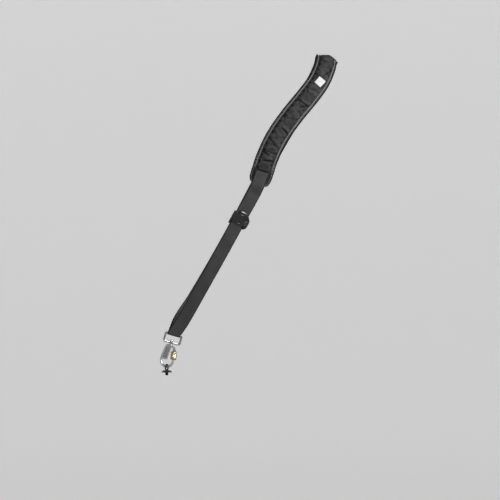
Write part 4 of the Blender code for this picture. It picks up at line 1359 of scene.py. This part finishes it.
def make_lock_base():
    wall = WEB_WIDTH / 2 + LOCK_SIDE_PLAY
    under = -LOCK_SLOT - LOCK_FLOOR
    half, right, corner, small = LOCK_LENGTH / 2, LOCK_RIGHT, LOCK_CORNER, LOCK_SMALL_CORNER
    outline = [(-LOCK_LEFT, -half + small)]
    outline += arc((-LOCK_LEFT + small, -half + small), small, 190, 270, 6)
    outline += arc((right - corner, -half + corner), corner, -90, 0, 12)
    outline += arc((right - corner, half - corner), corner, 0, 90, 12)
    outline += arc((-LOCK_LEFT + small, half - small), small, 90, 170, 6)
    tray = slab(outline, under, LID_UNDER - GAP)
    tray = carve(tray, slab(box(-wall, -40 * MM, wall, 40 * MM), -LOCK_SLOT, 9 * MM))
    lowered = box(-30 * MM, -40 * MM, 0, 40 * MM)
    tray = carve(tray, slab(lowered, BARREL_LEVEL - BARREL_RADIUS - GAP, 9 * MM))
    knuckle_top = BARREL_LOW - GAP
    foot, inner = under + 0.6 * MM, -wall - 0.2 * MM
    block = [(BARREL_SIDE - BARREL_RADIUS, foot), (inner, foot), (inner, BARREL_LEVEL)]
    block += arc((BARREL_SIDE, BARREL_LEVEL), BARREL_RADIUS, 20, 180, 12)
    solids = [tray, set_in(slab(block, -knuckle_top, half - 0.5 * MM), STANDING)]
    for x in spaced(-9 * MM, 9 * MM, 4.5 * MM):
        start, end = (x, -half + 3 * MM), (x, half - 3 * MM)
        solids.append(round_bar(start, end, 0.55 * MM, under + 0.15 * MM))
    for y in spaced(-half + corner, half - corner, 2 * MM):
        start, end = (right - 1.4 * MM, y), (right + 0.35 * MM, y)
        solids.append(round_bar(start, end, 0.5 * MM, 0.2 * MM))
    bm = cast(solids, 0.3 * MM)
    bore = LOCK_PIN_RADIUS + GAP
    bm = drill(bm, bore, -half - MM, knuckle_top + MM, at=BARREL_AT @ LYING)
    set_in(bm, LOCK_FRAME)
    finish_piece(bm, "lock_tray", NYLON, "strap", 35, "lock_base")


def make_lock_lid():
    """The lid: a dished disc with a raised rim, its hinge barrel and ribs for the thumb."""
    centre = (LID_CENTRE - BARREL_SIDE, LID_UP)
    at_centre = Matrix.Translation((*centre, 0))
    under = LID_UNDER - BARREL_LEVEL
    top = under + LID_THICK
    dish, foot = top - 0.75 * MM, under + 0.5 * MM
    outer = LID_RADIUS - 0.05 * MM
    cut_angle = math.degrees(math.asin(LID_CUT / LID_RADIUS))
    plate = slab(arc(centre, outer, -cut_angle, 180 + cut_angle, 72), under, dish)
    wall = LID_RADIUS - 3.2 * MM
    bevel = [(wall, foot), (outer, foot), (outer, top - 1.15 * MM), (LID_RADIUS - 2.1 * MM, top)]
    bevel += [(wall + 0.4 * MM, top), (wall, dish), (wall, foot)]
    raised_rim = set_in(lathe(bevel, 120), at_centre)
    beneath = box(-60 * MM, -60 * MM, 60 * MM, LID_UP - LID_CUT)
    raised_rim = carve(raised_rim, slab(beneath, under - MM, top + MM))
    inner_path = arc(centre, LID_RADIUS * 0.56, 0, 355, 71)
    inner_wire = tube(inner_path, 0.5 * MM, 12, loop=True, level=top - 0.8 * MM)
    hub = [(0, foot), (4.4 * MM, foot), (4.4 * MM, dish), (3.6 * MM, top - 0.42 * MM)]
    hub += [(1.8 * MM, top - 0.28 * MM), (0, top - 0.25 * MM)]
    solids = [plate, raised_rim, inner_wire, set_in(lathe(hub, 48), at_centre)]
    for turn in (-32, -23, -14, -5, 4):
        out = Vector((math.cos(math.radians(turn)), math.sin(math.radians(turn))))
        start, end = (Vector(centre) + out * LID_RADIUS * share for share in (0.64, 0.86))
        solids.append(round_bar(start, end, 0.6 * MM, top - 0.85 * MM))
    bm = cast(solids, 0.25 * MM, 2)
    low, high = BARREL_LOW, BARREL_HIGH
    below = box(-60 * MM, -60 * MM, BARREL_RADIUS + GAP, low)
    beyond = box(-60 * MM, low - MM, 0.2 * MM, 60 * MM)
    for cut in (below, beyond):
        bm = carve(bm, slab(cut, under - 3 * MM, top + 3 * MM))
    tab = rounded(box(0.4 * MM, low, LID_TAB, high - MM), 0.5 * MM)
    radius, edge = BARREL_RADIUS, 0.3 * MM
    barrel = [(0, low), (radius - edge, low), (radius, low + edge)]
    barrel += [(radius, high - edge), (radius - edge, high), (0, high)]
    barrel = set_in(lathe(barrel, 40), LYING)
    bm = cast([bm, slab(tab, under, top - 0.35 * MM), barrel], 0.27 * MM, 2)
    bm = drill(bm, LOCK_PIN_RADIUS + GAP, low - MM, high + MM, at=LYING)
    set_in(bm, LOCK_FRAME @ BARREL_AT)
    finish_piece(bm, "lock_lever", NYLON, "lid", 55, "lock_lid")


def make_lock_pin():
    bm = pin(LOCK_PIN_RADIUS, LOCK_LENGTH / 2, 0.25 * MM)
    set_in(bm, LOCK_FRAME @ (Matrix.Translation((BARREL_SIDE, MM, BARREL_LEVEL)) @ LYING))
    finish_piece(bm, "hinge_wire", SATIN_STEEL, "strap", 40, "lock_pin")


# Ring: its origin is on the axis of its top bar
RING_FRAME = Matrix.Translation(place(LOOP_DROP, RING_DEPTH, 0))
RING_FRAME = RING_FRAME @ Matrix.Rotation(BAR_LEAN, 4, "Y")


def make_ring():
    half = RING_INSIDE / 2 + WIRE_RADIUS
    low = -RING_BAR_SPACING
    bend = RING_BEND
    centres = box(-half + bend, low + bend, half - bend, -bend)[::-1]
    starts = (180, 90, 0, -90)
    corners = [arc(centre, bend, start, start - 90, 14) for centre, start in zip(centres, starts)]
    path = []
    for k in (1, 2, 3, 0):
        path += corners[k] + spaced_points(corners[k][-1], corners[(k + 1) % 4][0], MM)
    wire = set_in(tube(path, WIRE_RADIUS, 40, loop=True), STANDING)
    radius, rise, edge = RING_BOSS_RADIUS, RING_BOSS_HALF, 0.5 * MM
    boss = [(0, low - rise), (radius - edge, low - rise), (radius, low - rise + edge)]
    boss += [(radius, low + rise - edge), (radius - edge, low + rise), (0, low + rise)]
    bm = cast([wire, lathe(boss)], 0.25 * MM, 4)
    bm = drill(bm, POST_RADIUS + POST_PLAY, low - 5 * MM, low + 5 * MM, 48)
    set_in(bm, RING_FRAME)
    finish_piece(bm, "wire_ring", CHROME, "ring", 35, "strap_ring")


# Hook: x across, y through it, z up; its origin is in the middle of the ring's lower bar
HOOK_FRAME = Matrix.Translation(RING_FRAME @ Vector((0, 0, -RING_BAR_SPACING))) @ (
    Matrix.Rotation(HOOK_LEAN, 4, "Y") @ Matrix.Rotation(HOOK_TURN, 4, "Z")
)
# The gate's line runs from its hinge down and outward, to meet the basket's side
HINGE_SIDE = (
    BASKET_SIDE
    + BASKET_RADIUS * math.cos(GATE_LEAN)
    - (BASKET_DROP - BASKET_RADIUS * math.sin(GATE_LEAN) - GATE_HINGE_DROP) * math.tan(GATE_LEAN)
)
NOSE_REACH = (BASKET_DROP - NOSE_RISE - GATE_HINGE_DROP) / math.cos(GATE_LEAN)
GATE_FRAME = HOOK_FRAME @ Matrix.Translation((HINGE_SIDE, 0, -GATE_HINGE_DROP))
GATE_FRAME = GATE_FRAME @ Matrix.Rotation(-GATE_LEAN, 4, "Y")
FOOT_X = BASKET_SIDE - BASKET_RADIUS * math.cos(SPINE_LEAN)
FOOT_Z = -BASKET_DROP + BASKET_RADIUS * math.sin(SPINE_LEAN)


def hook_path():
    """Centre line of the hook's bar: nose, basket, spine, shoulder and top."""
    nose_x = HINGE_SIDE + NOSE_REACH * math.sin(GATE_LEAN)
    nose_z = -GATE_HINGE_DROP - NOSE_REACH * math.cos(GATE_LEAN)
    lean = math.degrees(SPINE_LEAN)
    path = [(nose_x, nose_z)]
    path += arc((BASKET_SIDE, -BASKET_DROP), BASKET_RADIUS, 0, -(180 + lean), 64)
    bend_z = -HOOK_TOP - SHOULDER_BEND
    rise = bend_z + SHOULDER_BEND * math.sin(SPINE_LEAN) - FOOT_Z
    bend_x = FOOT_X + rise * math.tan(SPINE_LEAN) + SHOULDER_BEND * math.cos(SPINE_LEAN)
    shoulder = arc((bend_x, bend_z), SHOULDER_BEND, 180 - lean, 92, 16)
    path += spaced_points(path[-1], shoulder[0], MM) + shoulder
    path += arc((3.4 * MM, bend_z - 0.5 * MM), SHOULDER_BEND + 0.5 * MM, 88, 52, 8)
    return path


def grip_outline():
    """The flat grip between the spine and the gate, with a straight slanted back."""
    slope = math.tan(SPINE_LEAN)
    top_z = -HOOK_TOP - 2.0 * MM
    low_z = -GRIP_FOOT
    outer = FOOT_X - BAR_RADIUS * 0.96
    left_top = outer + (top_z - SHOULDER_BEND - FOOT_Z) * slope
    left_low = outer + (low_z - FOOT_Z) * slope * 0.2
    return [
        (left_low, low_z),
        (left_low + GRIP_WIDTH_FOOT, low_z),
        (left_top + GRIP_WIDTH_TOP, -GATE_HINGE_DROP - 2 * MM),
        (left_top + GRIP_WIDTH_TOP, top_z),
        (left_top + SHOULDER_BEND, top_z),
        (left_top, top_z - SHOULDER_BEND),
    ]


def grip_field(outline):
    """The part of the grip inside its plain border."""
    middle = Vector((sum(x for x, _ in outline), sum(y for _, y in outline))) / len(outline)
    return [(middle.x + (x - middle.x) * 0.8, middle.y + (y - middle.y) * 0.86) for x, y in outline]


def is_inside(x, y, outline):
    crossed = False
    for (x0, y0), (x1, y1) in zip(outline, outline[1:] + outline[:1]):
        if (y0 > y) != (y1 > y) and x < x0 + (x1 - x0) * (y - y0) / (y1 - y0):
            crossed = not crossed
    return crossed


def grip_grooves(outline, face):
    """Cutters for the slanting grooves on the grip, kept inside a plain border."""
    inside = slab(rounded(grip_field(outline), 1.2 * MM), face - 0.6 * MM, face + MM)
    low, high = Vector(outline[0]), Vector(outline[-1])
    along = (high - low).normalized()
    aside = Vector((along.y, -along.x))
    stripes = []
    for k in range(6):
        start = low + aside * (1.3 * MM + k * 2.9 * MM)
        corners = [start - along * 9 * MM, start + along * 40 * MM]
        corners += [corners[1] + aside * 1.35 * MM, corners[0] + aside * 1.35 * MM]
        stripes.append(slab(corners, face - 2 * MM, face + 2 * MM))
    return carve(inside, gather(stripes), "INTERSECT")


def make_hook():
    path = hook_path()
    seat = RING_BOSS_HALF + POST_SEAT
    foot = -HOOK_TOP - 0.8 * MM
    post = [(0, foot), (NECK_RADIUS, foot), (NECK_RADIUS, -seat - 0.5 * MM)]
    post += [(NECK_RADIUS - 0.5 * MM, -seat), (POST_RADIUS, -seat), (POST_RADIUS, seat)]
    post += [(HEAD_RADIUS - 0.3 * MM, seat), (HEAD_RADIUS, seat + 0.3 * MM)]
    head = ((1, 0.35), (0.93, 0.6), (0.74, 0.85), (0.45, 1), (0.32, 0.86), (0, 0.82))
    post += [(HEAD_RADIUS * r, seat + HEAD_HEIGHT * h) for r, h in head]
    outline = grip_outline()
    half = BAR_RADIUS * 0.94
    grip = carve(slab(rounded(outline, 1.3 * MM), -half, half), grip_grooves(outline, half))
    back = set_in(grip_grooves(outline, half), Matrix.Scale(-1, 4, (0, 0, 1)))
    bmesh.ops.reverse_faces(back, faces=back.faces)
    hinge = Vector((HINGE_SIDE, -GATE_HINGE_DROP))
    end = Vector(path[-1])
    away = math.degrees(math.atan2(end.y - hinge.y, end.x - hinge.x))
    ear = arc(hinge, EAR_RADIUS, away + 90, away + 270, 20)
    ear += arc(end, EAR_RADIUS * 0.7, away - 90, away + 90, 8)
    flat = [carve(grip, back), slab(ear, -EAR_HALF, EAR_HALF)]
    grip, ear = (set_in(solid, STANDING) for solid in flat)
    bar = set_in(tube(path, BAR_RADIUS, 36), STANDING)
    bm = cast([bar, lathe(post), grip, ear], 0.22 * MM, 3)
    at = Matrix.Translation((hinge.x, 0, hinge.y)) @ LYING
    bm = drill(bm, GATE_PIN_RADIUS + GAP, -5 * MM, 5 * MM, at=at)
    # Painted shade: the faces sunk in the grip's grooves take the dark oxide steel.
    field = grip_field(outline)
    for face in bm.faces:
        spot = face.calc_center_median()
        sunk = abs(spot.y) < half - 0.2 * MM and is_inside(spot.x, spot.z, field)
        face.material_index = int(sunk)
    set_in(bm, HOOK_FRAME)
    hook = finish_piece(bm, "swivel_hook", SATIN_STEEL, "hook", 35, "hook_body")
    hook.data.materials.append(BLACK_STEEL_AND_GROOVE_SHADE)


def make_gate():
    """The gate: a fork on the hinge pin, then a round bar down to the hook's nose."""
    radius, start, length = BAR_RADIUS, FORK_ROOT, NOSE_REACH - GATE_GAP
    bar = [(0, -length), (radius - 0.4 * MM, -length), (radius, -length + 0.4 * MM)]
    bar += [(radius, -start), (0, -start)]
    cheek = arc((0, 0), EAR_RADIUS, 0, 180, 20)
    cheek += [(-radius, -start), (-radius * 0.6, -start - 0.6 * MM)]
    cheek += [(radius * 0.6, -start - 0.6 * MM), (radius, -start)]
    inner = EAR_HALF + GAP
    solids = [lathe(bar, 40)]
    for low in (-inner - CHEEK_THICK, inner):
        solids.append(set_in(slab(cheek, low, low + CHEEK_THICK), STANDING))
    bm = cast(solids, 0.18 * MM, 2)
    bm = drill(bm, GATE_PIN_RADIUS + GAP, -5 * MM, 5 * MM, at=LYING)
    set_in(bm, GATE_FRAME)
    finish_piece(bm, "forked_gate", SATIN_STEEL, "gate", 35, "hook_gate")


def make_gate_pin():
    bm = pin(GATE_PIN_RADIUS, EAR_HALF + GAP + CHEEK_THICK + 0.1 * MM, 0.2 * MM)
    set_in(bm, GATE_FRAME @ LYING)
    finish_piece(bm, "gate_rivet", CHROME, "hook", 40, "gate_pin")


def make_sleeve():
    """The screw sleeve on the gate: a knurled band between two plain collars."""
    top = -(FORK_ROOT + 0.5 * MM + GAP)
    low = top - SLEEVE_LENGTH
    bore, edge, wide = BAR_RADIUS + SLEEVE_PLAY, SLEEVE_EDGE, SLEEVE_RADIUS
    collar = [(bore, low + 0.3 * MM), (bore + 0.3 * MM, low), (wide - edge, low)]
    collar += [(wide - 0.25 * MM, low + edge * 0.6), (wide, low + edge * 1.2)]
    collar += [(wide, low + 2.6 * MM), (wide - 0.6 * MM, low + 2.9 * MM)]
    collar += [(wide - 0.6 * MM, low + 3.4 * MM), (wide - 0.1 * MM, low + 3.7 * MM)]
    band = spaced(low + 3.7 * MM, top - 3.7 * MM, 0.33 * MM)[1:-1]
    section = collar + [(wide - 0.1 * MM, z) for z in band]
    section += [(radius, top + low - height) for radius, height in reversed(collar)]
    count = len(section)
    turns = 22

    def shape(u, v):
        k = round(u * count) % count
        radius, height = section[k]
        angle = 2 * math.pi * v
        if 0 <= k - len(collar) < len(band):
            right = abs(math.sin(turns * angle / 2 + height * math.pi / (1.7 * MM)))
            left = abs(math.sin(turns * angle / 2 - height * math.pi / (1.7 * MM)))
            radius -= 0.22 * MM * (1 - min(right, left, 0.55) / 0.55)
        return turned(radius, angle, height)

    bm = set_in(blank(count, 264, shape, loop=True), GATE_FRAME)
    finish_piece(bm, "knurled_sleeve", BRASS, "sleeve", 30, "lock_sleeve")


# Camera fastener, hanging from the lowest point of the hook's basket


def fastener_frame():
    down = HOOK_FRAME.to_3x3().transposed() @ Vector((0, 0, -1))
    lean = Vector((down.x, 0, down.z)).normalized()
    spot = HOOK_FRAME @ (Vector((BASKET_SIDE, 0, -BASKET_DROP)) + lean * BASKET_RADIUS)
    along = (HOOK_FRAME.to_3x3() @ Vector((-lean.z, 0, lean.x))).normalized()
    up = Vector((0, 0, 1))
    return axes_at(spot, along, up.cross(along), up)


def make_fastener():
    """An eye on a finger-grip flange, with the threaded camera stud below."""
    eye = tube(arc((0, 0), EYE_INSIDE + EYE_WIRE, 0, 356.25, 95), EYE_WIRE, 28, loop=True)
    set_in(eye, Matrix.Translation((0, 0, EYE_CENTRE)) @ Matrix.Rotation(math.pi / 2, 4, "Y"))
    top, wide = FLANGE_TOP, FLANGE_RADIUS
    low = top - FLANGE_THICK
    neck = [(0, low + 0.2 * MM), (EYE_WIRE * 2.6, top - 0.2 * MM), (EYE_WIRE * 2.1, top + 0.2 * MM)]
    neck += [(EYE_WIRE * 1.5, top + EYE_SINK * 0.7), (0, top + EYE_SINK * 0.8)]
    flange = [(0.0, low), (wide - 0.3 * MM, low), (wide, low + 0.3 * MM)]
    flange += [(wide, top - 0.35 * MM), (wide - 0.35 * MM, top), (0.0, top)]
    rows = len(flange) - 1

    def fluted(u, v):
        radius, height = flange[round(v * rows)]
        angle = 2 * math.pi * u
        if radius > wide * 0.9:
            radius -= 0.45 * MM * max(0.0, math.cos(30 * angle)) ** 0.5
        return turned(radius, angle, height)

    plate = blank(240, rows, fluted)
    bmesh.ops.remove_doubles(plate, verts=plate.verts, dist=1e-6)
    plate = cast([eye, lathe(neck), plate], 0.22 * MM, 2)
    foot = low - WASHER_THICK - STUD_LENGTH
    levels = spaced(foot, low + 0.3 * MM, 0.1 * MM)
    steps = len(levels) - 1

    def threaded(u, v):
        height = levels[round(v * steps)]
        turn = (height / STUD_PITCH + u) % 1.0
        depth = 0.62 * MM * (1 - min(1.0, abs(turn - 0.5) / 0.42))
        fade = smoothstep((height - foot) / (0.8 * MM)) * smoothstep((low - height) / (0.6 * MM))
        lead = 0.5 * MM * (1 - smoothstep((height - foot) / (0.7 * MM)))
        return turned(STUD_RADIUS - depth * fade - lead, 2 * math.pi * u, height)

    bm = set_in(gather([plate, blank(48, steps, threaded)]), fastener_frame())
    finish_piece(bm, "camera_eye", BLACK_STEEL_AND_GROOVE_SHADE, "fastener", 35, "fastener_eye")


def make_washer():
    """The rubber washer, with grip rings moulded in its lower face."""
    high = FLANGE_TOP - FLANGE_THICK - GAP
    low = high - WASHER_THICK + GAP
    bore, wide, edge = STUD_RADIUS + GAP, WASHER_RADIUS, WASHER_EDGE
    profile = [(bore, high), (wide - edge, high), (wide - edge * 0.3, high - edge * 0.3)]
    profile += [(wide, high - edge), (wide, low + edge)]
    profile += [(wide - edge * 0.3, low + edge * 0.3), (wide - edge, low)]
    for middle in spaced(wide - 1.6 * MM, bore + 1.2 * MM, 1.3 * MM):
        profile += [(middle + 0.35 * MM, low), (middle + 0.12 * MM, low + 0.3 * MM)]
        profile += [(middle - 0.12 * MM, low + 0.3 * MM), (middle - 0.35 * MM, low)]
    bm = set_in(lathe(profile + [(bore, low), (bore, high)], 96), fastener_frame())
    finish_piece(bm, "grip_washer", RUBBER, "fastener", 30, "fastener_washer")


make_pad()
make_panel()
make_binding()
make_piping("left_cord", -1, "piping_left")
make_piping("right_cord", 1, "piping_right")
patch_top = make_patch()
make_webbing()
make_stitching(patch_top)
make_lock_base()
make_lock_lid()
make_lock_pin()
make_ring()
make_hook()
make_gate()
make_gate_pin()
make_sleeve()
make_fastener()
make_washer()


# Studio: a pale floor that curves up into a pale wall all round, and soft lights

FLOOR_DROP = 0.45
FLOOR_CURVE = [(0.001, 0.0), (5.0, 0.0), (6.4, 0.08), (7.8, 0.5), (8.9, 1.5)]
FLOOR_CURVE += [(9.4, 3.0), (9.4, 5.5)]


def make_floor():
    level = cad_box[0].z - FLOOR_DROP
    floor = as_object(lathe([(x, z + level) for x, z in FLOOR_CURVE]), "studio_floor")
    floor.data.shade_smooth()
    floor.data.materials.append(PAINT)
    floor.location = (cad_box[0].x / 2 + cad_box[1].x / 2, 0, 0)
    subdivide = floor.modifiers.new("Smooth", "SUBSURF")
    subdivide.levels = subdivide.render_levels = 2


def black_card(name, corner, across, up):
    """A card that only reflections see: it gives metal and gloss their dark edges."""
    bm = bmesh.new()
    bmesh.ops.create_grid(bm, x_segments=1, y_segments=1, size=0.5)
    for vert in bm.verts:
        u, v = vert.co.x + 0.5, vert.co.y + 0.5
        vert.co = Vector(corner) + Vector(across) * u + Vector(up) * v
    card = as_object(bm, name)
    card.data.materials.append(CARD)
    card.visible_camera = card.visible_diffuse = card.visible_shadow = False
    card.visible_transmission = card.visible_volume_scatter = False


def area_light(name, place_at, look_at, size, power, gloss_only=False):
    data = bpy.data.lights.new(name, "AREA")
    data.shape = "RECTANGLE"
    data.size, data.size_y = size
    data.energy = power
    lamp = link(name, data)
    lamp.location = place_at
    lamp.visible_diffuse = not gloss_only
    lamp.rotation_euler = (Vector(look_at) - Vector(place_at)).to_track_quat("-Z", "Y").to_euler()


make_floor()
for card in (
    ("left_front_card", (-1.75, -0.85, -1.0), (0, 0.42, 0), (0, 0, 2.6)),
    ("left_back_card", (-1.75, 0.43, -1.0), (0, 2.4, 0), (0, 0, 2.6)),
    ("right_front_card", (1.5, -2.1, -1.0), (0, 1.65, 0), (0, 0, 2.6)),
    ("right_back_card", (1.5, 0.43, -1.0), (0, 2.4, 0), (0, 0, 2.6)),
    ("back_card", (-1.7, 2.6, 0.75), (3.2, 0, 0), (0, 0, 3.8)),
    ("floor_card", (-0.9, -0.42, -1.03), (1.6, 0, 0), (0, 1.5, 0)),
):
    black_card(*card)
area_light("key_light", (0.75, -0.95, 0.34), (0.0, -0.08, -0.12), (0.28, 0.28), 22)
area_light("rim_light", (1.4, -0.25, -0.1), (-0.05, -0.05, -0.15), (0.25, 1.0), 10)

# Seen by gloss alone, and placed where the upper bevel of the lock's lid mirrors it to the front
bevel_faces = LOCK_FRAME.to_3x3() @ Vector((0, math.sin(LID_BEVEL), math.cos(LID_BEVEL)))
lock_spot = LOCK_FRAME.translation
gleam_from = lock_spot + Vector((0, 1, 0)).reflect(bevel_faces) * 1.1
area_light("gleam_light", gleam_from, lock_spot, (0.6, 0.3), 20, gloss_only=True)

world = bpy.data.worlds.new("studio_air")
bpy.context.scene.world = world
world.use_nodes = True
feed(world.node_tree.nodes["Background"], {"Color": linear("#ffffff"), "Strength": 0.12})
bpy.context.scene.view_settings.view_transform = "Standard"

camera = link("camera", bpy.data.cameras.new("camera"))
camera.location = (
    (PICTURE / 2 - ORIGIN_PX[0]) * PX,
    STRAP_DEPTH - SHOT_DISTANCE,
    (ORIGIN_PX[1] - PICTURE / 2) * PX,
)
camera.rotation_euler = (math.pi / 2, 0, 0)
camera.data.sensor_width = 36
camera.data.lens = 36 * SHOT_DISTANCE / (PICTURE * PX)
camera.data.clip_end = 100
bpy.context.scene.camera = camera
